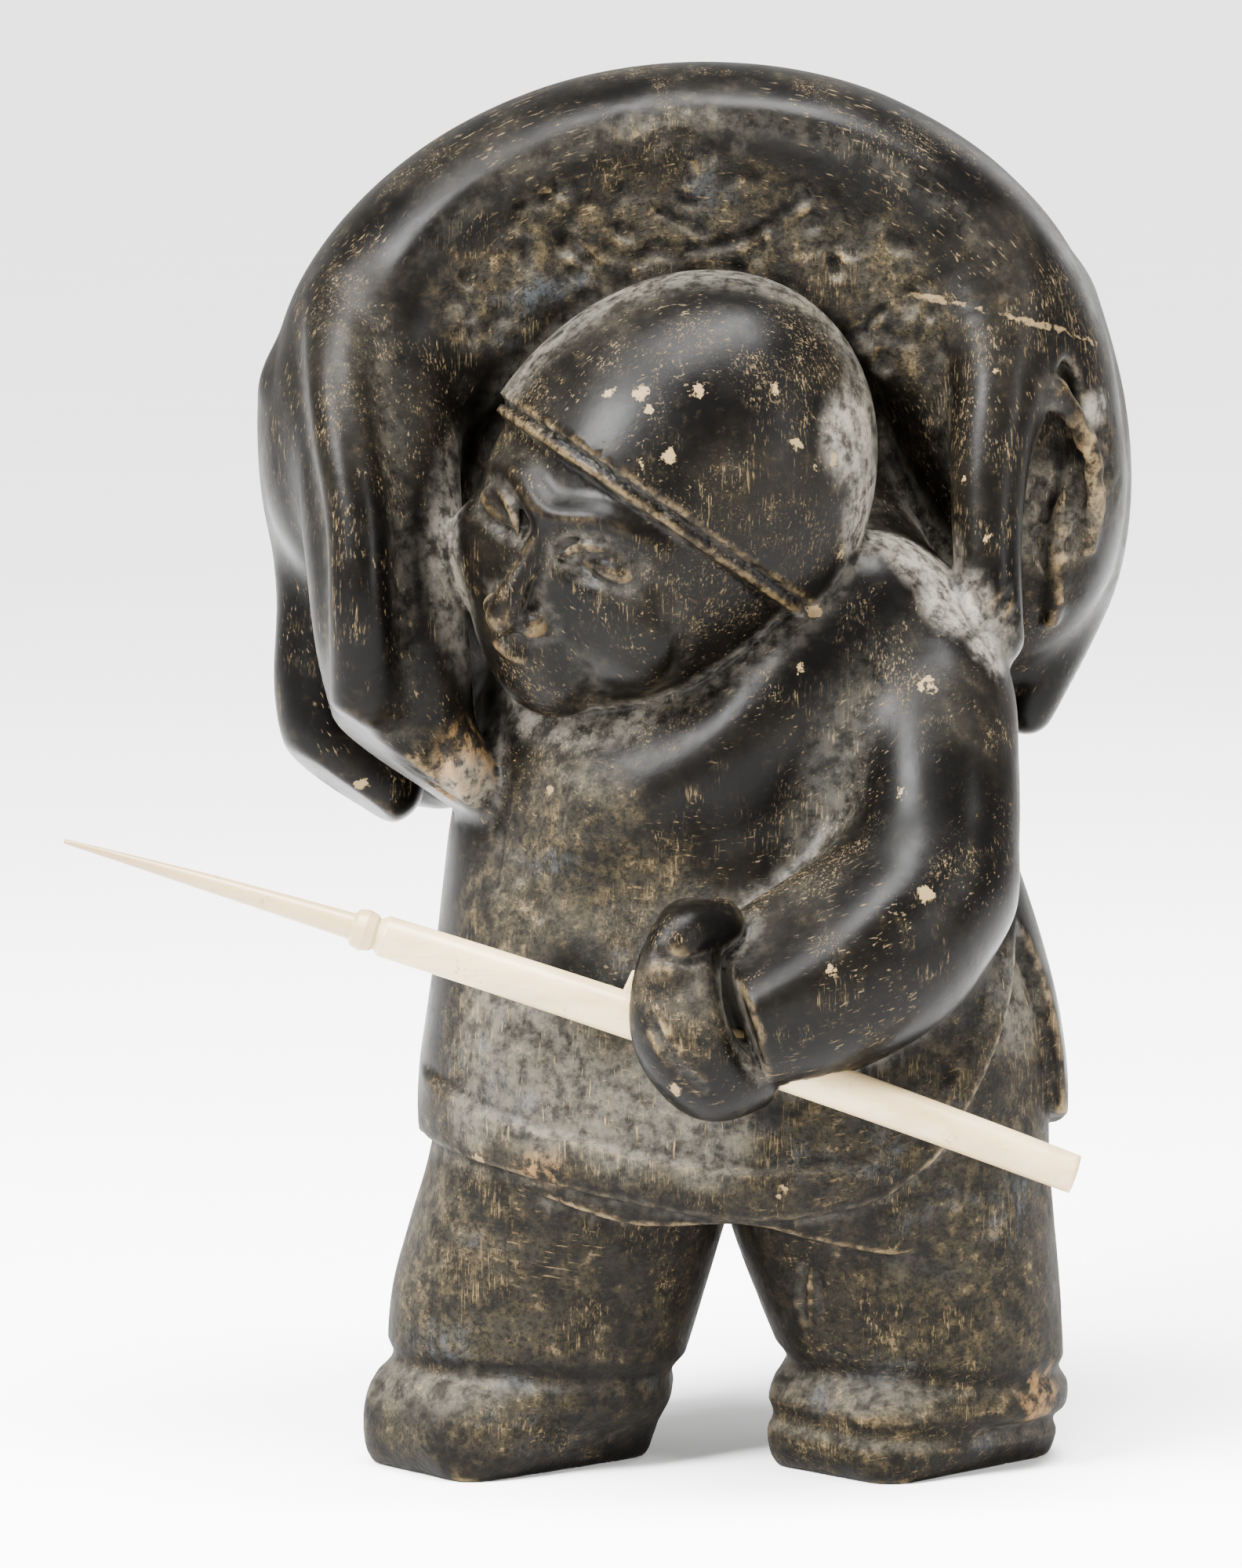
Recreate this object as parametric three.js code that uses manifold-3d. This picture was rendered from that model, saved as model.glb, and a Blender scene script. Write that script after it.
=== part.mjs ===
// Hunter carved in soapstone: a hooded figure in a long parka carries an animal across the
// shoulders and holds a harpoon of ivory across the body. Millimetres, +Z up, soles on z = 0.
// Seen from -Y the face looks to the left and the harpoon points left.
import * as THREE from 'three';
import Module from 'manifold-3d';

// Driving sizes in millimetres
const HEIGHT = 300;
const FIT = 0.4;
const HARPOON_LENGTH = 221;
const HARPOON_SLOPE = 18.4;
const HARPOON_BOW = 2.4;
const SHAFT_DIAMETER = 9.5;
const BUTT_DIAMETER = 8.2;
const BLADE_LENGTH = 62;
const BLADE_BASE_DIAMETER = 5.6;
const TIP_DIAMETER = 1;
const COLLAR_LENGTH = 5.5;
const COLLAR_DIAMETER = 8.8;
const COLLAR_GROOVE_DEPTH = 0.7;
const PEG_PLACE = 122;
const PEG_LENGTH = 5;
const PEG_WIDTH = 3.4;
const PEG_RISE = 4.6;

// Fineness of the faceted solids
const CELL = 2.4;
const FACETS = 8300;
const SHAFT_SIDES = 20;

// The carving's forms, in percent of its height, from a point on the ground between the feet
const UNIT = HEIGHT / 100;

// Trunk: rows of height, centre x, centre y, half width, half depth
const TRUNK = [
  [12.21, 3.26, -2.67, 21.08, 15.33],
  [16.79, 3.31, -2.67, 22.41, 16.67],
  [20.21, 3.25, -2.67, 22.97, 17.5],
  [24.21, 3.22, -2.67, 23.37, 18],
  [28.2, 3.24, -2.67, 23.33, 18],
  [32.75, 3.23, -2.67, 22.69, 17.67],
  [37.25, 2.98, -2.33, 21.81, 17],
  [41.75, 2.52, -2, 20.84, 16],
  [46.25, 1.96, -1.67, 19.71, 15],
  [50.74, 1.67, -1.33, 18.3, 14.33],
  [55.2, 1.39, -0.67, 16.9, 13.33],
  [59.61, 1.55, 0.67, 15.09, 12],
  [64.03, 1.7, 2, 12.43, 10.67],
  [68.52, 1.7, 2.67, 10.17, 9.33],
];
const TRUNK_AXIS = [3.17, -2.67];
const HEM_STEP = 1.47;
const BAND_RELIEF = 0.5;
const BAND_CREASE = 0.4;
const HIP = 39;

// Hems: rows of direction round the trunk in degrees (-90 is the front) and height
const FRONT_HEM = [
  [-200, 22.67], [-179, 23.38], [-164, 23.36], [-149, 22.72], [-134, 21.85],
  [-114, 20.53], [-93, 19.59], [-79, 19.66], [-62, 20.54], [-54, 21.99],
  [-47, 23.92], [-41, 26.98], [-35, 30.23], [-28, 33.82], [-23, 36.4],
  [-17, 39.76], [-14, 40.69],
];
const REAR_HEM = [
  [-12, 25.54], [0, 24.49], [20, 22.84],
  [90, 19.48], [160, 22.84], [180, 23.3],
];
const UNDER_HEM = [
  [-200, 21.64], [-150, 21.36], [-120, 19.05], [-91, 19.15],
  [-74, 18.08], [-61, 17.13], [-51, 16.64], [-45, 16.96], [-32, 18.47],
  [-20, 19.72], [0, 19.93], [30, 19.07], [90, 17.24],
  [150, 19.07], [180, 21.93],
];

// Front edge of the rear flap: rows of height and direction
const FLAP_EDGE = [
  [20.32, -8], [26.02, -10], [31.7, -11],
  [35.28, -13], [39.76, -17],
];

// Trim band above the front hem: rows of direction and width
const BAND = [
  [-180, 5.67], [-150, 4.33], [-134, 4.13], [-90, 4],
  [-62, 3.67], [-46, 3], [-34, 2.53], [-18, 2],
];

// Animal's body over the shoulders: rows of angle, outer and inner radius, depth centre, half depth
const CARRY_CENTRE = [0.29, 3.33, 68.47];
const CARRY = [
  [-60, 23.33, 13.33, 6.67, 3.33],
  [-34, 26, 14, 6.67, 4],
  [-22, 28.33, 14.67, 6, 6.67],
  [-12, 30, 15.33, 5.33, 8.33],
  [0, 30.67, 14.67, 4.67, 9.33],
  [12, 30.93, 14, 4, 10],
  [25, 31.6, 14, 3.33, 10.33],
  [40, 32.33, 14, 2.67, 10.33],
  [67, 32.07, 14, 2.33, 9.67],
  [90, 31.67, 13.33, 2.33, 9.33],
  [113, 32, 13.33, 2.33, 9.33],
  [146, 33, 14.67, 2.33, 9.67],
  [160, 32.67, 16, 2.33, 9.33],
  [172, 32, 16.67, 2, 9],
  [182, 31, 17.33, 2, 8],
  [192, 28.67, 18.67, 2, 5.33],
  [204, 26, 20, 2, 2.67],
];
const HOLLOW = [
  [-60, 25.33, 11.33, -10, 2.67],
  [-20, 25.33, 11.33, -10, 3],
  [10, 25.33, 11.33, -10, 3],
  [40, 27.33, 11.33, -9.33, 4],
  [90, 27.33, 11.33, -9, 5],
  [130, 26.67, 11.33, -9.33, 4.33],
  [160, 24.67, 11.33, -10, 3],
  [230, 25.33, 11.33, -11.33, 2],
];
const BACK_CENTRE = [-0.25, 5.33, 66.06];
const BACK_SIZE = [18.63, 10, 18.07];
const FILL_CENTRE = [-14.17, 5.33, 68.33];
const FILL_SIZE = [6.78, 8, 16.94];

// Animal's legs: rows of x, y, z, radius
const NEAR_LEG = [
  [-16.91, 2.67, 87.14, 5.08], [-20.79, 0, 83.31, 5.87], [-22.86, -2.67, 78.4, 6.1],
  [-22.78, -6, 71.9, 5.87], [-22.18, -8, 64.8, 5.65], [-21.63, -8.67, 58.73, 5.42],
  [-20.53, -8.67, 53.16, 4.74], [-18.87, -8.67, 50.65, 4.07], [-17.33, -8, 49.18, 3.5],
];
const NEAR_SHIN = [
  [-25.67, -4.67, 83.51, 1.69], [-25.63, -9.33, 79.3, 2.03], [-24.98, -12.67, 73.98, 2.15],
  [-24, -14.67, 68.06, 2.15], [-23.78, -15.33, 62.07, 2.15], [-23.68, -14, 55.89, 2.15],
];
const NEAR_HOOF = [-21.72, -10, 51.23];
const NEAR_HOOF_FACING = [-0.53, -0.24, -0.81];
const OUTER_LEG = [
  [-27.74, 2, 76.47, 3.61], [-27.12, 4, 68.42, 3.95], [-26.75, 4, 61.61, 3.73],
  [-27.03, 3.33, 54.83, 3.61], [-25.95, 2.67, 50.91, 3.5], [-22.65, 2, 48.13, 2.94],
];
const OUTER_HOOF = [-26.25, 0, 48.9];
const OUTER_HOOF_FACING = [-0.56, -0.3, -0.77];
const FAR_LEG = [
  [16.8, 0.67, 87.77, 4.74], [19.93, -2.67, 83.43, 4.4], [21.14, -6, 78.02, 3.28],
  [20.52, -8, 72.03, 2.82], [20.32, -9.33, 66.57, 2.48], [20.47, -10, 61.63, 2.37],
  [20.7, -10, 59.85, 2.26],
];
const HEAD_OF_PREY = [
  [24.04, 5.33, 81.95, 4.86], [26.42, 6.67, 75.07, 4.52], [27.17, 7.33, 69.34, 4.29],
  [26.69, 7.33, 63.62, 4.07], [25.67, 7, 59.07, 3.28], [24.33, 6, 54.7, 2.37],
  [23.88, 6, 53.44, 2.15],
];
const PIT_CENTRE = [25.13, -5, 69.04];
const PREY_EAR = [
  [25.47, -6.19, 76.92, 0.73], [27.48, -4.44, 73.47, 0.85],
  [28.31, -3.17, 69.2, 0.79], [27.87, -2.42, 65.5, 0.56],
];
const PREY_CHEEK = [
  [25.08, -1.45, 73.29, 0.68], [25.86, -1.94, 69.4, 0.85],
  [25.76, -2.21, 64.36, 0.96], [25.31, -0.63, 60.29, 0.68],
];
const PIT_SIZE = [2.6, 2.83, 10.73];

// Hunter's head in its hood: an egg with the crown up and to the right
const HEAD_CENTRE = [-2.61, -10.67, 69.33];
const HEAD_SIZE = [13.83, 12.67, 17.62];
const HEAD_OUT = [0.12, 1, 0];
const HEAD_CROWN = [0.577, -0.02, 0.817];
const BRIM_PLACE = [-4.26, -10.67, 70.32];
const BRIM_FACING = [-0.557, -0.06, -0.82];
const BRIM_WIDTH = 1.4;
const BRIM_STEP = 0.43;
const BRIM_GROOVE = 0.33;
const FACE_DEPTH = 1.47;

// Face: its facing and its own upright, then features as side, up, out, in percent
const FACE_FACING = [-0.72, -0.63, -0.29];
const FACE_UP = [0.12, -0.46, 0.88];
const FACE_DROP = -1;
const EYE_SIDE = 4.5;
const EYE_LINE = 2.67;
const NOSE_LINE = -2.83;
const MOUTH_LINE = -6.83;
const CHIN_LINE = -11;

// Collar of the parka below the face, then the arms: rows of x, y, z, radius
const COLLAR = [
  [10.95, -10.33, 62.21, 4.86], [6.48, -12.67, 56.76, 4.97],
  [1.8, -13.33, 51.68, 5.08], [-5.09, -12.33, 47.97, 4.97],
];
const UPPER_ARM = [
  [11.73, -2.67, 63.27, 4.74], [14.66, -7.33, 59.45, 5.65], [16.13, -11.33, 55.64, 6.04],
  [16.43, -14, 51.47, 5.99], [16.47, -16.33, 47.02, 5.93], [15.72, -17.67, 43.03, 6.27],
];
const FOREARM = [
  [15.72, -17.67, 43.03, 6.27], [12.69, -20, 39.68, 7.11], [8.18, -22, 37.19, 7],
  [3.91, -23.33, 35.51, 6.1], [0.32, -24, 34.23, 5.19],
];
const FOREARM_FLAT = {
  place: [6.17, -25.45, 41.33],
  facing: [-0.35, -0.6, 0.72],
};
const CUFF_PLACE = [1.96, -23.33, 35.78];
const CUFF_FACING = [-0.93, -0.2, -0.3];
const HAND = [
  [-0.77, -24, 40.51, 2.48], [-1.65, -26.33, 37.54, 3.05], [-1.43, -27, 33.82, 3.39],
  [0.58, -25.67, 30.8, 3.16], [3.04, -24, 30.67, 2.71],
];
const THUMB = [[1.12, -24.67, 41.14, 1.92], [-1.44, -27.33, 40.6, 2.03], [-2.63, -28.33, 38.34, 1.81]];
const RAISED_ARM = [
  [-15.92, 6.67, 53.95, 5.36], [-18.87, 10.67, 50.11, 4.74], [-22.38, 12.67, 51.65, 4.07],
  [-25.82, 12.67, 56.28, 3.5], [-27.49, 11.33, 59.28, 3.28],
];

// Legs: rows of height, centre x, centre y, half width, half depth
const LEG_LEFT = [
  [3.28, -12.09, -4, 9.95, 8.33],
  [5.57, -11.92, -4, 10.12, 9],
  [7.8, -11.61, -3.67, 10.77, 9.67],
  [12.32, -10.73, -3.33, 11.3, 10.33],
  [16.84, -9.46, -3, 11.38, 11.33],
  [21.36, -8.05, -2.67, 11.44, 12.33],
  [25.92, -6.78, -2.67, 11.85, 12.67],
];
const LEG_RIGHT = [
  [3.28, 16.29, -4, 10.06, 9],
  [5.57, 16.25, -4, 10.14, 9.33],
  [7.86, 16.07, -4, 10.25, 10],
  [12.38, 15.05, -3.67, 11.04, 11],
  [16.84, 14.04, -3, 11.67, 12.33],
  [21.36, 13.28, -2.67, 12.03, 13.33],
  [25.92, 12.84, -2.67, 12.27, 13.67],
];

// Boots: centre, half sizes along width, length and height, turn from straight ahead,
// and the heights of the creases round them
const BOOT_LEFT = {
  place: [-13.55, -4.67, 2.54],
  size: [7.5, 10.17, 3.5],
  turn: 50,
  creases: [7.33],
};
const BOOT_RIGHT = {
  place: [15.46, -5, 2.6],
  size: [7.67, 10.33, 3.5],
  turn: 45,
  creases: [7.17, 3.33],
};
const BOOT_LIFT = 3;
const BOOT_ROUND = 3.17;
const CREASE_DEPTH = 0.43;
const CREASE_WIDTH = 1.2;
const TOE_ROUND = 1.17;

// Harpoon: its tip
const HARPOON_TIP = [-43.97, -23.67, 46.85];

// Small vector helpers
const clamp = (v, lo, hi) => Math.min(Math.max(v, lo), hi);
const dot = (a, b) => a[0] * b[0] + a[1] * b[1] + a[2] * b[2];
const cross = (a, b) => [
  a[1] * b[2] - a[2] * b[1],
  a[2] * b[0] - a[0] * b[2],
  a[0] * b[1] - a[1] * b[0],
];
const minus = (a, b) => a.map((v, i) => v - b[i]);
const along = (a, d, t) => a.map((v, i) => v + d[i] * t);
const unit = (a) => a.map((v) => v / Math.hypot(...a));

// Side, out and up directions of a turned form
function frameOf(out, up) {
  const f = unit(out);
  const u = unit(along(up, f, -dot(up, f)));
  return [cross(f, u), f, u];
}

// Rounded joins of two distances, k being the size of the rounding
function join(a, b, k) {
  const h = Math.max(k - Math.abs(a - b), 0) / k;
  return Math.min(a, b) - (h * h * k) / 4;
}
const carve = (a, b, k) => -join(-a, -b, k);
const ease = (v, a, b) => {
  const t = clamp((v - a) / (b - a), 0, 1);
  return t * t * (3 - 2 * t);
};
const swell = (v, centre, width) => {
  const t = (v - centre) / width;
  return Math.max(1 - t * t, 0) ** 2;
};

// Smooth curve through rows, at share t of the step from row i
function between(rows, i, t) {
  const at = (j) => rows[clamp(j, 0, rows.length - 1)];
  const [a, b, c, d] = [at(i - 1), at(i), at(i + 1), at(i + 2)];
  return b.map((v, k) => {
    const bend = 2 * a[k] - 5 * v + 4 * c[k] - d[k];
    const cube = 3 * v - a[k] - 3 * c[k] + d[k];
    return v + (t * (c[k] - a[k]) + t * t * bend + t * t * t * cube) / 2;
  });
}
function refine(rows, steps) {
  const fine = [];
  for (let i = 0; i < rows.length - 1; i++) {
    for (let j = 0; j < steps; j++) fine.push(between(rows, i, j / steps));
  }
  fine.push(rows[rows.length - 1]);
  return fine;
}

// Values looked up by the first number of the rows, straight between closely spaced rows
function lookup(rows, samples = 240) {
  const fine = refine(rows, 12);
  const lo = fine[0][0];
  const hi = fine[fine.length - 1][0];
  const table = [];
  let j = 0;
  for (let i = 0; i <= samples; i++) {
    const key = lo + ((hi - lo) * i) / samples;
    while (j < fine.length - 2 && fine[j + 1][0] < key) j++;
    const t = clamp((key - fine[j][0]) / (fine[j + 1][0] - fine[j][0]), 0, 1);
    table.push(fine[j].map((v, k) => v + (fine[j + 1][k] - v) * t).slice(1));
  }
  return (key) => {
    const s = clamp((key - lo) / (hi - lo), 0, 1) * samples;
    const i = Math.min(Math.floor(s), samples - 1);
    return table[i].map((v, k) => v + (table[i + 1][k] - v) * (s - i));
  };
}

// Distance to a limb of round sections through rows of x, y, z, radius
function limb(rows, steps = 8) {
  const path = refine(rows, steps);
  const middle = [0, 1, 2].map((k) => path.reduce((sum, p) => sum + p[k], 0) / path.length);
  const reach = Math.max(...path.map((p) => Math.hypot(...minus(p.slice(0, 3), middle)) + p[3]));
  return (x, y, z) => {
    const far = Math.hypot(x - middle[0], y - middle[1], z - middle[2]) - reach;
    if (far > 8) return far;
    let best = Infinity;
    for (let i = 0; i < path.length - 1; i++) {
      const [ax, ay, az, ar] = path[i];
      const b = path[i + 1];
      const dx = b[0] - ax;
      const dy = b[1] - ay;
      const dz = b[2] - az;
      const share = ((x - ax) * dx + (y - ay) * dy + (z - az) * dz) / (dx * dx + dy * dy + dz * dz);
      const t = clamp(share, 0, 1);
      const gap = Math.hypot(x - ax - dx * t, y - ay - dy * t, z - az - dz * t);
      best = Math.min(best, gap - ar - (b[3] - ar) * t);
    }
    return best;
  };
}

// Distance to an egg of three half sizes, in an upright or turned frame
const UPRIGHT = [[1, 0, 0], [0, 1, 0], [0, 0, 1]];
function egg(centre, size, frame = UPRIGHT) {
  const [side, out, up] = frame;
  return (x, y, z) => {
    const p = [x - centre[0], y - centre[1], z - centre[2]];
    const q = [dot(side, p) / size[0], dot(out, p) / size[1], dot(up, p) / size[2]];
    const level = Math.hypot(...q);
    const steep = Math.hypot(q[0] / size[0], q[1] / size[1], q[2] / size[2]);
    return steep > 1e-9 ? (level * (level - 1)) / steep : -Math.min(...size);
  };
}

// Distance beyond a flat cut through a place, positive on the side it faces
function flat(place, facing) {
  const n = unit(facing);
  return (x, y, z) => dot(n, [x - place[0], y - place[1], z - place[2]]);
}

// Distance to a block with rounded edges
function block(centre, size, round, frame) {
  return (x, y, z) => {
    const p = [x - centre[0], y - centre[1], z - centre[2]];
    const q = size.map((s, i) => Math.abs(dot(frame[i], p)) - s + round);
    return Math.hypot(...q.map((v) => Math.max(v, 0))) + Math.min(Math.max(...q), 0) - round;
  };
}

// Distance to a full oval of half sizes a and b
function oval(u, v, a, b, fullness) {
  const s = Math.abs(u) / a;
  const t = Math.abs(v) / b;
  const sum = s ** fullness + t ** fullness + 1e-12;
  const level = sum ** (1 / fullness);
  const base = sum ** (1 / fullness - 1);
  const steep = Math.hypot((base * s ** (fullness - 1)) / a, (base * t ** (fullness - 1)) / b);
  return (level - 1) / Math.max(steep, 1 / Math.max(a, b));
}

// Distance to an upright body of oval sections with rounded ends
function upright(levels, round, fullness) {
  const rows = [...levels].sort((a, b) => a[0] - b[0]);
  const at = lookup(rows);
  const [low, high] = [rows[0][0], rows[rows.length - 1][0]];
  return (x, y, z) => {
    const [cx, cy, rx, ry] = at(z);
    const wall = oval(x - cx, y - cy, rx, ry, fullness) + round;
    const cap = Math.max(low - z, z - high) + round;
    return Math.hypot(Math.max(wall, 0), Math.max(cap, 0)) + Math.min(Math.max(wall, cap), 0) - round;
  };
}

// Distance to a body bent round a centre in the upright plane
function bent(centre, rows) {
  const at = lookup(rows);
  const [first, last] = [rows[0][0], rows[rows.length - 1][0]];
  return (x, y, z) => {
    const r = Math.hypot(x - centre[0], z - centre[2]);
    let angle = (Math.atan2(z - centre[2], x - centre[0]) * 180) / Math.PI;
    if (angle < -100) angle += 360;
    const [outer, inner, depth, half] = at(angle);
    const wall = oval(r - (outer + inner) / 2, y - depth, (outer - inner) / 2, half, 2.4);
    const over = (Math.max(first - angle, angle - last) * Math.PI * r) / 180;
    return over > 0 ? Math.max(wall, over) : wall;
  };
}

// Trunk with the parka's hems: front panel with a trim band, rear flap, garment beneath
const trunkWall = upright(TRUNK, 3.3, 2.2);
const frontHem = lookup(FRONT_HEM);
const rearHem = lookup(REAR_HEM);
const underHem = lookup(UNDER_HEM);
const flapEdge = lookup([...FLAP_EDGE].sort((a, b) => a[0] - b[0]));
const bandWidth = lookup(BAND);
function trunk(x, y, z) {
  const wall = trunkWall(x, y, z);
  if (wall > 8 || z > HIP + 6) return wall;
  const angle = (Math.atan2(y - TRUNK_AXIS[1], x - TRUNK_AXIS[0]) * 180) / Math.PI;
  const under = carve(wall + HEM_STEP, underHem(angle)[0] - z, 0.5);
  const slope = (frontHem(angle + 1)[0] - frontHem(angle - 1)[0]) / 0.75;
  const lift = (z - frontHem(angle)[0]) / Math.hypot(1, slope);
  const band = bandWidth(angle)[0];
  const sunk = BAND_RELIEF * ease(lift, band - 0.2, band + 0.6) + BAND_CREASE * swell(lift, band, 0.6);
  const faded = sunk * ease(z, HIP + 6, HIP - 10) * ease(angle, -178, -158);
  const front = angle < -8 ? carve(wall + faded, -lift, 1) : 99;
  const flap = carve(wall, rearHem(angle)[0] - z, 0.5);
  const rear = angle > -60 ? carve(flap, (flapEdge(z)[0] - angle) * 0.37, 0.5) : 99;
  const worn = Math.min(under, front, rear);
  return worn + (Math.min(worn, wall) - worn) * ease(z, HIP - 2, HIP + 2);
}

// Head in its hood: the hood ends in a stepped brim and the face lies deeper
const headFrame = frameOf(HEAD_OUT, HEAD_CROWN);
const hood = egg(HEAD_CENTRE, HEAD_SIZE, headFrame);
const beyondBrim = flat(BRIM_PLACE, BRIM_FACING);
function bareHead(x, y, z) {
  const s = beyondBrim(x, y, z);
  const brim = BRIM_STEP * ease(s, -0.15, 0.15) + BRIM_GROOVE * swell(s, 0.25, 0.3);
  return hood(x, y, z) + brim + (FACE_DEPTH - BRIM_STEP) * ease(s, BRIM_WIDTH - 0.4, BRIM_WIDTH);
}

// A place on the face, given as side, up and out from the bare surface
const faceFrame = frameOf(FACE_FACING, FACE_UP);
function onFace(side, up, out) {
  let p = along(along(HEAD_CENTRE, faceFrame[0], side), faceFrame[2], up + FACE_DROP);
  p = along(p, faceFrame[1], 25);
  for (let i = 0; i < 60; i++) p = along(p, faceFrame[1], -0.5 * (hood(...p) + FACE_DEPTH));
  return along(p, faceFrame[1], out);
}
const onBothSides = (make) => {
  const [a, b] = [make(1), make(-1)];
  return (x, y, z) => Math.min(a(x, y, z), b(x, y, z));
};
const stroke = (rows) => limb(rows.map(([s, u, o, r]) => [...onFace(s, u, o), r]), 5);
const lump = (side, up, out, size) => egg(onFace(side, up, out), size, faceFrame);
const cheeks = onBothSides((m) => lump(m * 6.6, NOSE_LINE - 0.2, -1.4, [3.6, 2.2, 3.8]));
const browRidge = stroke([
  [-7.4, EYE_LINE + 1.2, -0.4, 0.5],
  [-4, EYE_LINE + 2.7, 0, 0.8],
  [0, EYE_LINE + 2, 0.2, 0.8],
  [4, EYE_LINE + 2.7, 0, 0.8],
  [7.4, EYE_LINE + 1.2, -0.4, 0.5],
]);
const sockets = onBothSides((m) => lump(m * EYE_SIDE, EYE_LINE + 0.2, 0.8, [3.3, 1.7, 1.7]));
const eyes = onBothSides((m) => lump(m * EYE_SIDE, EYE_LINE - 0.1, -0.75, [2.5, 1.3, 1.05]));
const lids = onBothSides((m) => stroke([
  [m * (EYE_SIDE - 2.6), EYE_LINE - 0.4, 0, 0.25],
  [m * (EYE_SIDE - 1.2), EYE_LINE + 0.9, 0.25, 0.4],
  [m * (EYE_SIDE + 0.8), EYE_LINE + 0.9, 0.2, 0.4],
  [m * (EYE_SIDE + 2.6), EYE_LINE - 0.2, 0, 0.25],
]));
const noseRidge = stroke([
  [0, EYE_LINE + 1.6, -0.4, 0.8],
  [0, EYE_LINE - 1.6, 0.5, 0.9],
  [0, NOSE_LINE + 2, 1.2, 1.15],
  [0, NOSE_LINE + 0.4, 1.6, 1.4],
]);
const nostrils = onBothSides((m) => lump(m * 1.6, NOSE_LINE, 0.5, [1.1, 1.3, 0.95]));
const muzzle = lump(0, MOUTH_LINE - 0.2, -1, [5, 1.9, 3.1]);
const lipUpper = stroke([
  [-3.6, MOUTH_LINE - 0.2, -0.1, 0.3],
  [-1.5, MOUTH_LINE + 0.7, 0.5, 0.55],
  [0, MOUTH_LINE + 0.5, 0.6, 0.55],
  [1.5, MOUTH_LINE + 0.7, 0.5, 0.55],
  [3.6, MOUTH_LINE - 0.2, -0.1, 0.3],
]);
const lipLower = stroke([
  [-3.2, MOUTH_LINE - 0.6, -0.1, 0.3],
  [-1.4, MOUTH_LINE - 1, 0.4, 0.6],
  [1.4, MOUTH_LINE - 1, 0.4, 0.6],
  [3.2, MOUTH_LINE - 0.6, -0.1, 0.3],
]);
const chin = lump(0, CHIN_LINE + 1.4, -1, [3.8, 2.1, 2.3]);
const faceParts = [
  [cheeks, 2.2],
  [browRidge, 1.5],
  [muzzle, 1.6],
  [chin, 1.6],
  [noseRidge, 0.7],
  [nostrils, 0.5],
  [lipUpper, 0.3],
  [lipLower, 0.3],
];
function head(x, y, z) {
  let d = bareHead(x, y, z);
  if (d > 4) return d;
  d = carve(d, -sockets(x, y, z), 0.9);
  d = join(d, eyes(x, y, z), 0.3);
  d = join(d, lids(x, y, z), 0.3);
  for (const [part, k] of faceParts) d = join(d, part(x, y, z), k);
  return d;
}

// Animal over the shoulders, with a hollow along its near side
const carried = bent(CARRY_CENTRE, CARRY);
const hollow = bent(CARRY_CENTRE, HOLLOW);
const preyHead = limb(HEAD_OF_PREY);
const pit = egg(PIT_CENTRE, PIT_SIZE);
const preyEar = limb(PREY_EAR);
const preyCheek = limb(PREY_CHEEK);
const farLeg = limb(FAR_LEG);
const nearLeg = limb(NEAR_LEG);
const nearShin = limb(NEAR_SHIN);
const nearHoof = flat(NEAR_HOOF, NEAR_HOOF_FACING);
const outerLeg = limb(OUTER_LEG);
const outerHoof = flat(OUTER_HOOF, OUTER_HOOF_FACING);
const backFill = egg(BACK_CENTRE, BACK_SIZE);
const sideFill = egg(FILL_CENTRE, FILL_SIZE);
function prey(x, y, z) {
  let d = carve(carried(x, y, z), -hollow(x, y, z), 3);
  d = join(d, preyHead(x, y, z), 1.4);
  d = carve(d, -pit(x, y, z), 1);
  d = join(d, Math.min(preyEar(x, y, z), preyCheek(x, y, z)), 0.5);
  d = join(d, farLeg(x, y, z), 2.7);
  const near = carve(join(nearLeg(x, y, z), nearShin(x, y, z), 3), nearHoof(x, y, z), 0.4);
  const outer = carve(outerLeg(x, y, z), outerHoof(x, y, z), 0.4);
  return join(d, join(near, outer, 0.4), 1.7);
}

// Arms, hands, legs and boots
const collar = limb(COLLAR);
const upperArm = limb(UPPER_ARM);
const foreArm = limb(FOREARM);
const armFlat = flat(FOREARM_FLAT.place, FOREARM_FLAT.facing);
const cuff = flat(CUFF_PLACE, CUFF_FACING);
const hand = limb(HAND);
const thumb = limb(THUMB);
const raisedArm = limb(RAISED_ARM);
const legs = [upright(LEG_LEFT, 1.7, 2.3), upright(LEG_RIGHT, 1.7, 2.3)];
const boots = [BOOT_LEFT, BOOT_RIGHT].map(({ place, size, turn, creases }) => {
  const a = (turn * Math.PI) / 180;
  const frame = frameOf([-Math.sin(a), -Math.cos(a), 0], [0, 0, 1]);
  const centre = [place[0], place[1], BOOT_LIFT];
  const plain = block(centre, size, BOOT_ROUND, frame);
  const plan = egg(centre, [size[0] * TOE_ROUND, size[1] * TOE_ROUND, HIP], frame);
  const crease = (z) => creases.reduce((sum, level) => sum + swell(z, level, CREASE_WIDTH), 0);
  return {
    solid: (x, y, z) => carve(plain(x, y, z), plan(x, y, z), 1.5),
    sunk: (x, y, z) => CREASE_DEPTH * crease(z + 0.05 * (x - place[0])),
  };
});

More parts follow.
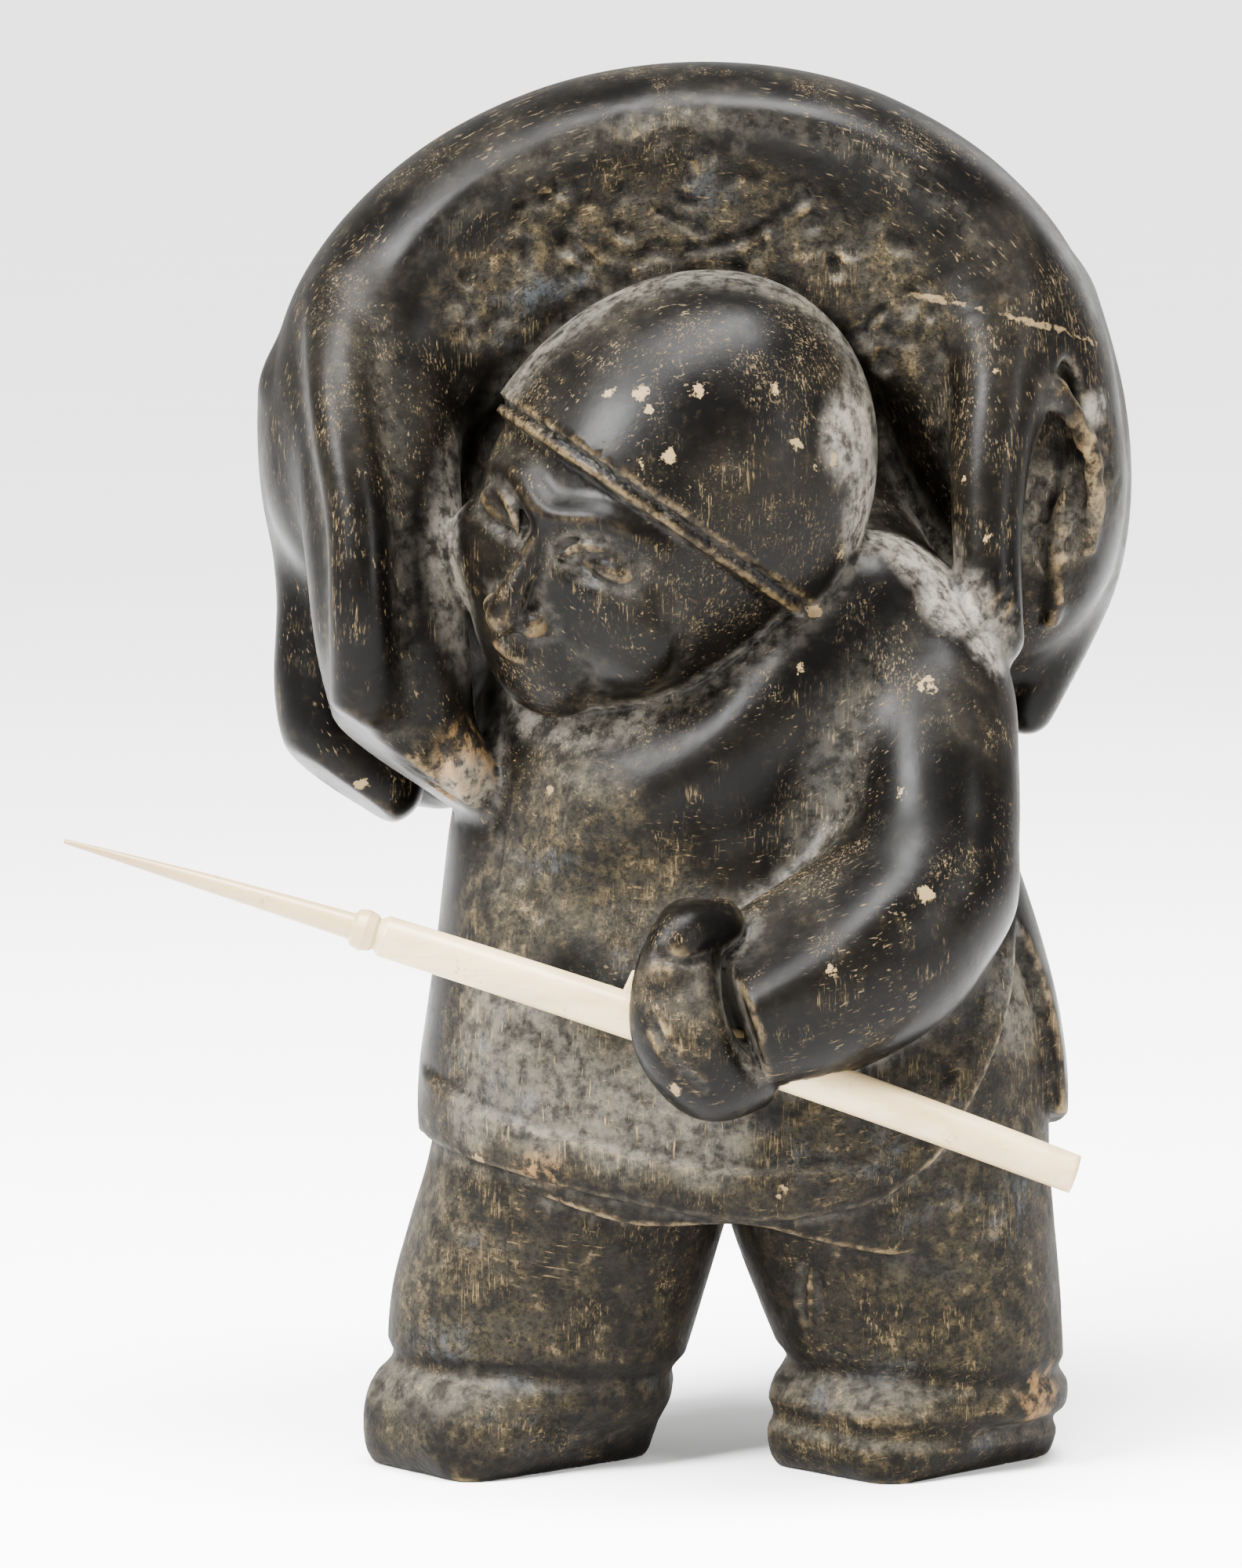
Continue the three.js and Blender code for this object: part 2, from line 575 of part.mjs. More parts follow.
// The whole carving
function stone(x, y, z) {
  let d = join(trunk(x, y, z), backFill(x, y, z), 3.3);
  d = join(d, sideFill(x, y, z), 2);
  d = join(d, collar(x, y, z), 4);
  d = join(d, upperArm(x, y, z), 4.6);
  d = join(d, prey(x, y, z), 0.9);
  d = join(d, raisedArm(x, y, z), 1);
  const stance = legs.map((leg, i) => {
    const { solid, sunk } = boots[i];
    return join(leg(x, y, z), solid(x, y, z), 2.4) + sunk(x, y, z);
  });
  d = join(d, Math.min(...stance), 0.5);
  const sleeve = carve(foreArm(x, y, z), armFlat(x, y, z), 1);
  d = join(d, carve(sleeve, cuff(x, y, z), 0.5), 1.3);
  d = join(d, join(hand(x, y, z), thumb(x, y, z), 0.5), 0.4);
  d = join(d, head(x, y, z), 0.5);
  return Math.max(d, -z);
}

// Surface of a distance field: each cell of a grid is six tetrahedra, and every edge of one
// that crosses the surface gets a corner
function surfaceOf(field, low, high, cell) {
  const n = low.map((v, k) => Math.ceil((high[k] - v) / cell) + 1);
  const step = [1, n[0], n[0] * n[1]];
  const where = (p) => [p % n[0], Math.floor(p / n[0]) % n[1], Math.floor(p / step[2])];
  const place = (p) => where(p).map((v, k) => low[k] + v * cell);
  const value = new Float32Array(n[0] * n[1] * n[2]);
  const least = cell * 0.02;
  const stride = 4;
  for (let k = 0; k < n[2]; k += stride) {
    for (let j = 0; j < n[1]; j += stride) {
      for (let i = 0; i < n[0]; i += stride) {
        const near = field(...[i, j, k].map((v, a) => low[a] + (v + 1.5) * cell));
        const open = Math.abs(near) < stride * cell * 1.6;
        for (let c = k; c < Math.min(k + stride, n[2]); c++) {
          for (let b = j; b < Math.min(j + stride, n[1]); b++) {
            for (let a = i; a < Math.min(i + stride, n[0]); a++) {
              const p = a + b * step[1] + c * step[2];
              const v = open ? field(...place(p)) : near;
              value[p] = v < 0 ? Math.min(v, -least) : Math.max(v, least);
            }
          }
        }
      }
    }
  }
  const points = [];
  const faces = [];
  const known = new Map();
  const corner = (p, q) => {
    const key = Math.min(p, q) * value.length + Math.max(p, q);
    if (!known.has(key)) {
      const [a, b] = [place(p), place(q)];
      known.set(key, points.length);
      points.push(along(a, minus(b, a), value[p] / (value[p] - value[q])));
    }
    return known.get(key);
  };
  const middle = (list) => [0, 1, 2].map((k) => list.reduce((s, p) => s + place(p)[k], 0) / list.length);
  const orders = [[0, 1, 2], [0, 2, 1], [1, 0, 2], [1, 2, 0], [2, 0, 1], [2, 1, 0]];
  const offset = (m) => step.reduce((sum, s, k) => sum + s * ((m >> k) & 1), 0);
  const eight = [0, 1, 2, 3, 4, 5, 6, 7].map(offset);
  for (let first = 0; first < value.length - eight[7]; first++) {
    const count = eight.reduce((sum, s) => sum + (value[first + s] < 0 ? 1 : 0), 0);
    if (count === 0 || count === 8 || where(first).some((v, k) => v === n[k] - 1)) continue;
    const far = first + eight[7];
    for (const order of orders) {
      const second = first + step[order[0]];
      const cellCorners = [first, second, second + step[order[1]], far];
      const inner = cellCorners.filter((p) => value[p] < 0);
      if (inner.length === 0 || inner.length === 4) continue;
      const outer = cellCorners.filter((p) => value[p] > 0);
      const outward = minus(middle(outer), middle(inner));
      let loop = inner.flatMap((p) => outer.map((q) => corner(p, q)));
      if (inner.length === 2) loop = [loop[0], loop[1], loop[3], loop[2]];
      const [a, b, c] = loop.map((i) => points[i]);
      if (dot(cross(minus(b, a), minus(c, a)), outward) < 0) loop.reverse();
      faces.push(loop.slice(0, 3));
      if (loop.length === 4) faces.push([loop[0], loop[2], loop[3]]);
    }
  }
  return { points, faces };
}

// Sum of squared distances to planes, kept as the ten numbers of a symmetric form
function addPlane(form, normal, offset, weight) {
  const v = [...normal, offset];
  let k = 0;
  for (let i = 0; i < 4; i++) {
    for (let j = i; j < 4; j++) form[k++] += weight * v[i] * v[j];
  }
}
function formAt(q, [x, y, z]) {
  const square = q[0] * x * x + q[4] * y * y + q[7] * z * z;
  const mixed = q[1] * x * y + q[2] * x * z + q[5] * y * z;
  return square + 2 * (mixed + q[3] * x + q[6] * y + q[8] * z) + q[9];
}
function lowestOf(q) {
  const rows = [[q[0], q[1], q[2]], [q[1], q[4], q[5]], [q[2], q[5], q[7]]];
  const right = [-q[3], -q[6], -q[8]];
  const whole = dot(rows[0], cross(rows[1], rows[2]));
  return [0, 1, 2].map((k) => {
    const m = rows.map((row, i) => row.map((v, j) => (j === k ? right[i] : v)));
    return dot(m[0], cross(m[1], m[2])) / whole;
  });
}

// A heap that gives back the entry of least cost
function makeHeap() {
  const items = [];
  const swap = (i, j) => {
    [items[i], items[j]] = [items[j], items[i]];
  };
  return {
    push(item) {
      let i = items.push(item) - 1;
      while (i > 0 && items[(i - 1) >> 1].cost > items[i].cost) {
        swap(i, (i - 1) >> 1);
        i = (i - 1) >> 1;
      }
    },
    pop() {
      const top = items[0];
      const last = items.pop();
      if (items.length > 0) items[0] = last;
      for (let i = 0; ;) {
        const [l, r] = [2 * i + 1, 2 * i + 2];
        let least = i;
        if (l < items.length && items[l].cost < items[least].cost) least = l;
        if (r < items.length && items[r].cost < items[least].cost) least = r;
        if (least === i) return top;
        swap(i, least);
        i = least;
      }
    },
  };
}

// Steepest direction of a field at a place
function leanOf(field, p) {
  const here = field(...p);
  return unit(UPRIGHT.map((axis) => field(...along(p, axis, 0.02)) - here));
}

// Fewer facets: joins the ends of the edge that moves the surface least, again and again. The
// leans are the true directions of the surface at its corners
function facet({ points, faces }, leans, wanted) {
  const forms = points.map(() => new Float64Array(10));
  const around = points.map(() => new Set());
  const stamp = points.map(() => 0);
  const normalOf = (corners) => cross(minus(corners[1], corners[0]), minus(corners[2], corners[0]));
  faces.forEach((f, i) => {
    const area = Math.hypot(...normalOf(f.map((v) => points[v]))) / 2;
    for (const v of f) {
      around[v].add(i);
      for (const w of f) addPlane(forms[v], leans[w], -dot(leans[w], points[w]), area);
      UPRIGHT.forEach((axis, k) => addPlane(forms[v], axis, -points[v][k], area * 0.004));
    }
  });
  const heap = makeHeap();
  const offer = (a, b) => {
    const form = forms[a].map((v, k) => v + forms[b][k]);
    const spot = lowestOf(form);
    heap.push({ cost: formAt(form, spot), a, b, spot, age: stamp[a] + stamp[b] });
  };
  const nearTo = (v) => {
    const all = new Set();
    for (const f of around[v]) faces[f].forEach((w) => all.add(w));
    all.delete(v);
    return all;
  };
  points.forEach((_, a) => nearTo(a).forEach((b) => {
    if (a < b) offer(a, b);
  }));
  let count = faces.length;
  while (count > wanted) {
    const { a, b, spot, age } = heap.pop();
    if (stamp[a] < 0 || stamp[b] < 0 || age !== stamp[a] + stamp[b]) continue;
    const [nearA, nearB] = [nearTo(a), nearTo(b)];
    if ([...nearA].filter((v) => nearB.has(v)).length !== 2) continue;
    const shared = [...around[a]].filter((f) => around[b].has(f));
    const kept = [...around[a], ...around[b]].filter((f) => !shared.includes(f));
    const turns = kept.some((f) => {
      const before = normalOf(faces[f].map((v) => points[v]));
      const after = normalOf(faces[f].map((v) => (v === a || v === b ? spot : points[v])));
      const size = Math.hypot(...after);
      return size < 0.01 || dot(before, after) < 0.3 * Math.hypot(...before) * size;
    });
    if (turns) continue;
    for (const f of shared) {
      for (const v of faces[f]) around[v].delete(f);
    }
    for (const f of around[b]) {
      faces[f] = faces[f].map((v) => (v === b ? a : v));
      around[a].add(f);
    }
    forms[b].forEach((v, k) => {
      forms[a][k] += v;
    });
    points[a] = spot;
    stamp[b] = -1;
    stamp[a] += 1;
    count -= shared.length;
    for (const v of nearTo(a)) offer(a, v);
  }
  const live = points.map((_, v) => v).filter((v) => stamp[v] >= 0 && around[v].size > 0);
  const place = new Map(live.map((v, i) => [v, i]));
  const left = new Set(live.flatMap((v) => [...around[v]]));
  return {
    points: live.map((v) => points[v]),
    faces: [...left].map((f) => faces[f].map((v) => place.get(v))),
  };
}

// Solids of manifold-3d from corner lists
const wasm = await Module();
wasm.setup();
const { Manifold, Mesh } = wasm;
function solidOf({ points, faces }) {
  const mesh = new Mesh({
    numProp: 3,
    vertProperties: new Float32Array(points.flat()),
    triVerts: new Uint32Array(faces.flat()),
  });
  mesh.merge();
  return new Manifold(mesh);
}

// A closed rod along a path of stations, each with a place and a diameter
function rod(stations, sides, across, up) {
  const points = stations.flatMap(({ place, diameter }) => Array.from({ length: sides }, (_, i) => {
    const a = (2 * Math.PI * i) / sides;
    return along(along(place, across, (Math.cos(a) * diameter) / 2), up, (Math.sin(a) * diameter) / 2);
  }));
  const faces = [];
  const last = (stations.length - 1) * sides;
  for (let i = 0; i < sides; i++) {
    const j = (i + 1) % sides;
    for (let k = 0; k < last; k += sides) {
      faces.push([k + i, k + j, k + sides + i], [k + j, k + sides + j, k + sides + i]);
    }
    if (i > 0 && i < sides - 1) faces.push([0, i + 1, i], [last, last + i, last + i + 1]);
  }
  return { points, faces };
}

// Harpoon: a slender blade, a collar bead with a groove behind it and a bowed shaft
const slope = (HARPOON_SLOPE * Math.PI) / 180;
const thrust = [Math.cos(slope), 0, -Math.sin(slope)];
const above = [Math.sin(slope), 0, Math.cos(slope)];
const tip = HARPOON_TIP.map((v) => v * UNIT);
const collarEnd = BLADE_LENGTH + COLLAR_LENGTH;
const profile = [
  [0, TIP_DIAMETER],
  [BLADE_LENGTH * 0.5, BLADE_BASE_DIAMETER * 0.66],
  [BLADE_LENGTH, BLADE_BASE_DIAMETER],
  [BLADE_LENGTH + COLLAR_LENGTH * 0.15, COLLAR_DIAMETER * 0.9],
  [BLADE_LENGTH + COLLAR_LENGTH * 0.5, COLLAR_DIAMETER],
  [BLADE_LENGTH + COLLAR_LENGTH * 0.85, COLLAR_DIAMETER * 0.9],
  [collarEnd, COLLAR_DIAMETER * 0.9 - 2 * COLLAR_GROOVE_DEPTH],
  [collarEnd + 1.5, COLLAR_DIAMETER],
  [PEG_PLACE, SHAFT_DIAMETER],
  [HARPOON_LENGTH, BUTT_DIAMETER],
];
function diameterAt(s) {
  const i = clamp(profile.findIndex((row) => row[0] >= s), 1, profile.length - 1);
  const [[s0, d0], [s1, d1]] = [profile[i - 1], profile[i]];
  return d0 + ((d1 - d0) * (s - s0)) / (s1 - s0);
}
function placeAt(s) {
  const t = (2 * s) / HARPOON_LENGTH - 1;
  return along(along(tip, thrust, s), above, HARPOON_BOW * (1 - t * t));
}
const stationPlaces = profile.map((row) => row[0]);
for (let s = 12; s < HARPOON_LENGTH; s += 13) {
  if (stationPlaces.every((q) => Math.abs(q - s) > 3)) stationPlaces.push(s);
}
stationPlaces.sort((a, b) => a - b);
const stationsWith = (grow) => stationPlaces.map((s) => ({
  place: placeAt(s),
  diameter: diameterAt(s) + 2 * grow,
}));
const inward = [0, 1, 0];
const shaft = solidOf(rod(stationsWith(0), SHAFT_SIDES, inward, above));

// Finger rest on top of the shaft: a four sided peg narrowing upward
function peg(grow) {
  const foot = along(placeAt(PEG_PLACE), above, SHAFT_DIAMETER * 0.3);
  const rise = SHAFT_DIAMETER * 0.2 + PEG_RISE + grow;
  const corners = [[-1, -1], [1, -1], [1, 1], [-1, 1]];
  const level = (height, share) => corners.map(([u, v]) => {
    const p = along(along(foot, above, height), thrust, u * (PEG_LENGTH / 2 + grow) * share);
    return along(p, inward, v * (PEG_WIDTH / 2 + grow) * share);
  });
  const points = [...level(0, 1), ...level(rise, 0.75)];
  const faces = [[0, 3, 2], [0, 2, 1], [4, 5, 6], [4, 6, 7]];
  for (let i = 0; i < 4; i++) {
    const j = (i + 1) % 4;
    faces.push([i, j, j + 4], [i, j + 4, i + 4]);
  }
  return solidOf({ points, faces });
}
const harpoonSolid = shaft.add(peg(0));

// The carving with its sole cut flat and a bore through the fist for the harpoon
const reach = Math.max(...CARRY.map((row) => row[1])) + 2;
const frontmost = Math.min(...HAND.map((row) => row[1] - row[3]));
const rearmost = Math.max(...RAISED_ARM.map((row) => row[1] + row[3]));
const [acrossCentre, , topCentre] = CARRY_CENTRE;
const low = [acrossCentre - reach, frontmost - 2, -2];
const high = [acrossCentre + reach, rearmost + 2, topCentre + reach];
const rough = surfaceOf(stone, low, high, CELL / UNIT);
const leans = rough.points.map((p) => leanOf(stone, p));
const scaled = rough.points.map((p) => p.map((v) => v * UNIT));
const faceted = facet({ points: scaled, faces: rough.faces }, leans, FACETS);
const bore = solidOf(rod(stationsWith(FIT), SHAFT_SIDES, inward, above)).add(peg(FIT));
const carving = solidOf(faceted).trimByPlane([0, 0, 1], 0).subtract(bore);

// Named pieces, with the origin under the middle of their common box
function geometryOf(solid) {
  const mesh = solid.getMesh();
  const geometry = new THREE.BufferGeometry();
  geometry.setAttribute('position', new THREE.BufferAttribute(new Float32Array(mesh.vertProperties), 3));
  geometry.setIndex([...mesh.triVerts]);
  geometry.computeVertexNormals();
  return geometry;
}
function piece(name, solid, color, roughness) {
  const material = new THREE.MeshStandardMaterial({ color, roughness, metalness: 0, flatShading: true });
  const mesh = new THREE.Mesh(geometryOf(solid), material);
  mesh.name = name;
  return mesh;
}
const group = new THREE.Group();
group.name = 'hunter';
group.add(piece('hunter_figure', carving, 0x3a3833, 0.45));
group.add(piece('harpoon', harpoonSolid, 0xe6ddc8, 0.5));
const box = new THREE.Box3().setFromObject(group);
const middle = box.getCenter(new THREE.Vector3());
for (const mesh of group.children) mesh.geometry.translate(-middle.x, -middle.y, -box.min.z);

export default group;
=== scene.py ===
# A hunter carved in soapstone with an animal over the shoulders and an ivory harpoon, dressed for
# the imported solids. The forms follow the same named sizes as the solids, carved finer.
import math

import bpy
import numpy as np
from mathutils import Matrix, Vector


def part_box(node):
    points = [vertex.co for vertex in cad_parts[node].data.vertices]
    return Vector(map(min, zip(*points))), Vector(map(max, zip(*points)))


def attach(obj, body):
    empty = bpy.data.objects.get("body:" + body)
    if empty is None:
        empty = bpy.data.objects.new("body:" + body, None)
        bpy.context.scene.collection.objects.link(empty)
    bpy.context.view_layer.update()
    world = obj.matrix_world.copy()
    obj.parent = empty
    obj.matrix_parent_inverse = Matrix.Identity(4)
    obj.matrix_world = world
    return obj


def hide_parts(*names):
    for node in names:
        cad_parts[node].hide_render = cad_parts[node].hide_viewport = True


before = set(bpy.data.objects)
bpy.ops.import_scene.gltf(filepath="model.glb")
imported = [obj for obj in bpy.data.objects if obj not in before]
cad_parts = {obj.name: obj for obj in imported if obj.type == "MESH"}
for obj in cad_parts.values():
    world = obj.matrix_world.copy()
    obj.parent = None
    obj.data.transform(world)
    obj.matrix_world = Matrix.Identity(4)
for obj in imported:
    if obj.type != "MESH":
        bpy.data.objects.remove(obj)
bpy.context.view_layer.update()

# Driving sizes in millimetres
HEIGHT = 300
FIT = 0.4
HARPOON_LENGTH = 221
HARPOON_SLOPE = 18.4
HARPOON_BOW = 2.4
SHAFT_DIAMETER = 9.5
BUTT_DIAMETER = 8.2
BLADE_LENGTH = 62
BLADE_BASE_DIAMETER = 5.6
TIP_DIAMETER = 1
COLLAR_LENGTH = 5.5
COLLAR_DIAMETER = 8.8
COLLAR_GROOVE_DEPTH = 0.7
PEG_PLACE = 122
PEG_LENGTH = 5
PEG_WIDTH = 3.4
PEG_RISE = 4.6


# The carving's forms, in percent of its height, from a point on the ground between the feet
UNIT = HEIGHT / 100

# Trunk: rows of height, centre x, centre y, half width, half depth
TRUNK = [
    [12.21, 3.26, -2.67, 21.08, 15.33],
    [16.79, 3.31, -2.67, 22.41, 16.67],
    [20.21, 3.25, -2.67, 22.97, 17.5],
    [24.21, 3.22, -2.67, 23.37, 18],
    [28.2, 3.24, -2.67, 23.33, 18],
    [32.75, 3.23, -2.67, 22.69, 17.67],
    [37.25, 2.98, -2.33, 21.81, 17],
    [41.75, 2.52, -2, 20.84, 16],
    [46.25, 1.96, -1.67, 19.71, 15],
    [50.74, 1.67, -1.33, 18.3, 14.33],
    [55.2, 1.39, -0.67, 16.9, 13.33],
    [59.61, 1.55, 0.67, 15.09, 12],
    [64.03, 1.7, 2, 12.43, 10.67],
    [68.52, 1.7, 2.67, 10.17, 9.33],
]
TRUNK_AXIS = [3.17, -2.67]
HEM_STEP = 1.47
BAND_RELIEF = 0.5
BAND_CREASE = 0.4
HIP = 39

# Hems: rows of direction round the trunk in degrees (-90 is the front) and height
FRONT_HEM = [
    [-200, 22.67], [-179, 23.38], [-164, 23.36], [-149, 22.72], [-134, 21.85],
    [-114, 20.53], [-93, 19.59], [-79, 19.66], [-62, 20.54], [-54, 21.99],
    [-47, 23.92], [-41, 26.98], [-35, 30.23], [-28, 33.82], [-23, 36.4],
    [-17, 39.76], [-14, 40.69],
]
REAR_HEM = [
    [-12, 25.54], [0, 24.49], [20, 22.84],
    [90, 19.48], [160, 22.84], [180, 23.3],
]
UNDER_HEM = [
    [-200, 21.64], [-150, 21.36], [-120, 19.05], [-91, 19.15],
    [-74, 18.08], [-61, 17.13], [-51, 16.64], [-45, 16.96], [-32, 18.47],
    [-20, 19.72], [0, 19.93], [30, 19.07], [90, 17.24],
    [150, 19.07], [180, 21.93],
]

# Front edge of the rear flap: rows of height and direction
FLAP_EDGE = [
    [20.32, -8], [26.02, -10], [31.7, -11],
    [35.28, -13], [39.76, -17],
]

# Trim band above the front hem: rows of direction and width
BAND = [
    [-180, 5.67], [-150, 4.33], [-134, 4.13], [-90, 4],
    [-62, 3.67], [-46, 3], [-34, 2.53], [-18, 2],
]

# Animal's body over the shoulders: rows of angle, outer and inner radius, depth centre, half depth
CARRY_CENTRE = [0.29, 3.33, 68.47]
CARRY = [
    [-60, 23.33, 13.33, 6.67, 3.33],
    [-34, 26, 14, 6.67, 4],
    [-22, 28.33, 14.67, 6, 6.67],
    [-12, 30, 15.33, 5.33, 8.33],
    [0, 30.67, 14.67, 4.67, 9.33],
    [12, 30.93, 14, 4, 10],
    [25, 31.6, 14, 3.33, 10.33],
    [40, 32.33, 14, 2.67, 10.33],
    [67, 32.07, 14, 2.33, 9.67],
    [90, 31.67, 13.33, 2.33, 9.33],
    [113, 32, 13.33, 2.33, 9.33],
    [146, 33, 14.67, 2.33, 9.67],
    [160, 32.67, 16, 2.33, 9.33],
    [172, 32, 16.67, 2, 9],
    [182, 31, 17.33, 2, 8],
    [192, 28.67, 18.67, 2, 5.33],
    [204, 26, 20, 2, 2.67],
]
HOLLOW = [
    [-60, 25.33, 11.33, -10, 2.67],
    [-20, 25.33, 11.33, -10, 3],
    [10, 25.33, 11.33, -10, 3],
    [40, 27.33, 11.33, -9.33, 4],
    [90, 27.33, 11.33, -9, 5],
    [130, 26.67, 11.33, -9.33, 4.33],
    [160, 24.67, 11.33, -10, 3],
    [230, 25.33, 11.33, -11.33, 2],
]
BACK_CENTRE = [-0.25, 5.33, 66.06]
BACK_SIZE = [18.63, 10, 18.07]
FILL_CENTRE = [-14.17, 5.33, 68.33]
FILL_SIZE = [6.78, 8, 16.94]

# Animal's legs: rows of x, y, z, radius
NEAR_LEG = [
    [-16.91, 2.67, 87.14, 5.08], [-20.79, 0, 83.31, 5.87], [-22.86, -2.67, 78.4, 6.1],
    [-22.78, -6, 71.9, 5.87], [-22.18, -8, 64.8, 5.65], [-21.63, -8.67, 58.73, 5.42],
    [-20.53, -8.67, 53.16, 4.74], [-18.87, -8.67, 50.65, 4.07], [-17.33, -8, 49.18, 3.5],
]
NEAR_SHIN = [
    [-25.67, -4.67, 83.51, 1.69], [-25.63, -9.33, 79.3, 2.03], [-24.98, -12.67, 73.98, 2.15],
    [-24, -14.67, 68.06, 2.15], [-23.78, -15.33, 62.07, 2.15], [-23.68, -14, 55.89, 2.15],
]
NEAR_HOOF = [-21.72, -10, 51.23]
NEAR_HOOF_FACING = [-0.53, -0.24, -0.81]
OUTER_LEG = [
    [-27.74, 2, 76.47, 3.61], [-27.12, 4, 68.42, 3.95], [-26.75, 4, 61.61, 3.73],
    [-27.03, 3.33, 54.83, 3.61], [-25.95, 2.67, 50.91, 3.5], [-22.65, 2, 48.13, 2.94],
]
OUTER_HOOF = [-26.25, 0, 48.9]
OUTER_HOOF_FACING = [-0.56, -0.3, -0.77]
FAR_LEG = [
    [16.8, 0.67, 87.77, 4.74], [19.93, -2.67, 83.43, 4.4], [21.14, -6, 78.02, 3.28],
    [20.52, -8, 72.03, 2.82], [20.32, -9.33, 66.57, 2.48], [20.47, -10, 61.63, 2.37],
    [20.7, -10, 59.85, 2.26],
]
HEAD_OF_PREY = [
    [24.04, 5.33, 81.95, 4.86], [26.42, 6.67, 75.07, 4.52], [27.17, 7.33, 69.34, 4.29],
    [26.69, 7.33, 63.62, 4.07], [25.67, 7, 59.07, 3.28], [24.33, 6, 54.7, 2.37],
    [23.88, 6, 53.44, 2.15],
]
PIT_CENTRE = [25.13, -5, 69.04]
PREY_EAR = [
    [25.47, -6.19, 76.92, 0.73], [27.48, -4.44, 73.47, 0.85],
    [28.31, -3.17, 69.2, 0.79], [27.87, -2.42, 65.5, 0.56],
]
PREY_CHEEK = [
    [25.08, -1.45, 73.29, 0.68], [25.86, -1.94, 69.4, 0.85],
    [25.76, -2.21, 64.36, 0.96], [25.31, -0.63, 60.29, 0.68],
]
PIT_SIZE = [2.6, 2.83, 10.73]

# Hunter's head in its hood: an egg with the crown up and to the right
HEAD_CENTRE = [-2.61, -10.67, 69.33]
HEAD_SIZE = [13.83, 12.67, 17.62]
HEAD_OUT = [0.12, 1, 0]
HEAD_CROWN = [0.577, -0.02, 0.817]
BRIM_PLACE = [-4.26, -10.67, 70.32]
BRIM_FACING = [-0.557, -0.06, -0.82]
BRIM_WIDTH = 1.4
BRIM_STEP = 0.43
BRIM_GROOVE = 0.33
FACE_DEPTH = 1.47

# Face: its facing and its own upright, then features as side, up, out, in percent
FACE_FACING = [-0.72, -0.63, -0.29]
FACE_UP = [0.12, -0.46, 0.88]
FACE_DROP = -1
EYE_SIDE = 4.5
EYE_LINE = 2.67
NOSE_LINE = -2.83
MOUTH_LINE = -6.83
CHIN_LINE = -11

# Collar of the parka below the face, then the arms: rows of x, y, z, radius
COLLAR = [
    [10.95, -10.33, 62.21, 4.86], [6.48, -12.67, 56.76, 4.97],
    [1.8, -13.33, 51.68, 5.08], [-5.09, -12.33, 47.97, 4.97],
]
UPPER_ARM = [
    [11.73, -2.67, 63.27, 4.74], [14.66, -7.33, 59.45, 5.65], [16.13, -11.33, 55.64, 6.04],
    [16.43, -14, 51.47, 5.99], [16.47, -16.33, 47.02, 5.93], [15.72, -17.67, 43.03, 6.27],
]
FOREARM = [
    [15.72, -17.67, 43.03, 6.27], [12.69, -20, 39.68, 7.11], [8.18, -22, 37.19, 7],
    [3.91, -23.33, 35.51, 6.1], [0.32, -24, 34.23, 5.19],
]
FOREARM_FLAT = {
    "place": [6.17, -25.45, 41.33],
    "facing": [-0.35, -0.6, 0.72],
}
CUFF_PLACE = [1.96, -23.33, 35.78]
CUFF_FACING = [-0.93, -0.2, -0.3]
HAND = [
    [-0.77, -24, 40.51, 2.48], [-1.65, -26.33, 37.54, 3.05], [-1.43, -27, 33.82, 3.39],
    [0.58, -25.67, 30.8, 3.16], [3.04, -24, 30.67, 2.71],
]
THUMB = [[1.12, -24.67, 41.14, 1.92], [-1.44, -27.33, 40.6, 2.03], [-2.63, -28.33, 38.34, 1.81]]
RAISED_ARM = [
    [-15.92, 6.67, 53.95, 5.36], [-18.87, 10.67, 50.11, 4.74], [-22.38, 12.67, 51.65, 4.07],
    [-25.82, 12.67, 56.28, 3.5], [-27.49, 11.33, 59.28, 3.28],
]

# Legs: rows of height, centre x, centre y, half width, half depth
LEG_LEFT = [
    [3.28, -12.09, -4, 9.95, 8.33],
    [5.57, -11.92, -4, 10.12, 9],
    [7.8, -11.61, -3.67, 10.77, 9.67],
    [12.32, -10.73, -3.33, 11.3, 10.33],
    [16.84, -9.46, -3, 11.38, 11.33],
    [21.36, -8.05, -2.67, 11.44, 12.33],
    [25.92, -6.78, -2.67, 11.85, 12.67],
]
LEG_RIGHT = [
    [3.28, 16.29, -4, 10.06, 9],
    [5.57, 16.25, -4, 10.14, 9.33],
    [7.86, 16.07, -4, 10.25, 10],
    [12.38, 15.05, -3.67, 11.04, 11],
    [16.84, 14.04, -3, 11.67, 12.33],
    [21.36, 13.28, -2.67, 12.03, 13.33],
    [25.92, 12.84, -2.67, 12.27, 13.67],
]

# Boots: centre, half sizes along width, length and height, turn from straight ahead,
# and the heights of the creases round them
BOOT_LEFT = {
    "place": [-13.55, -4.67, 2.54],
    "size": [7.5, 10.17, 3.5],
    "turn": 50,
    "creases": [7.33],
}
BOOT_RIGHT = {
    "place": [15.46, -5, 2.6],
    "size": [7.67, 10.33, 3.5],
    "turn": 45,
    "creases": [7.17, 3.33],
}
BOOT_LIFT = 3
BOOT_ROUND = 3.17
CREASE_DEPTH = 0.43
CREASE_WIDTH = 1.2
TOE_ROUND = 1.17

# Harpoon: its tip
HARPOON_TIP = [-43.97, -23.67, 46.85]


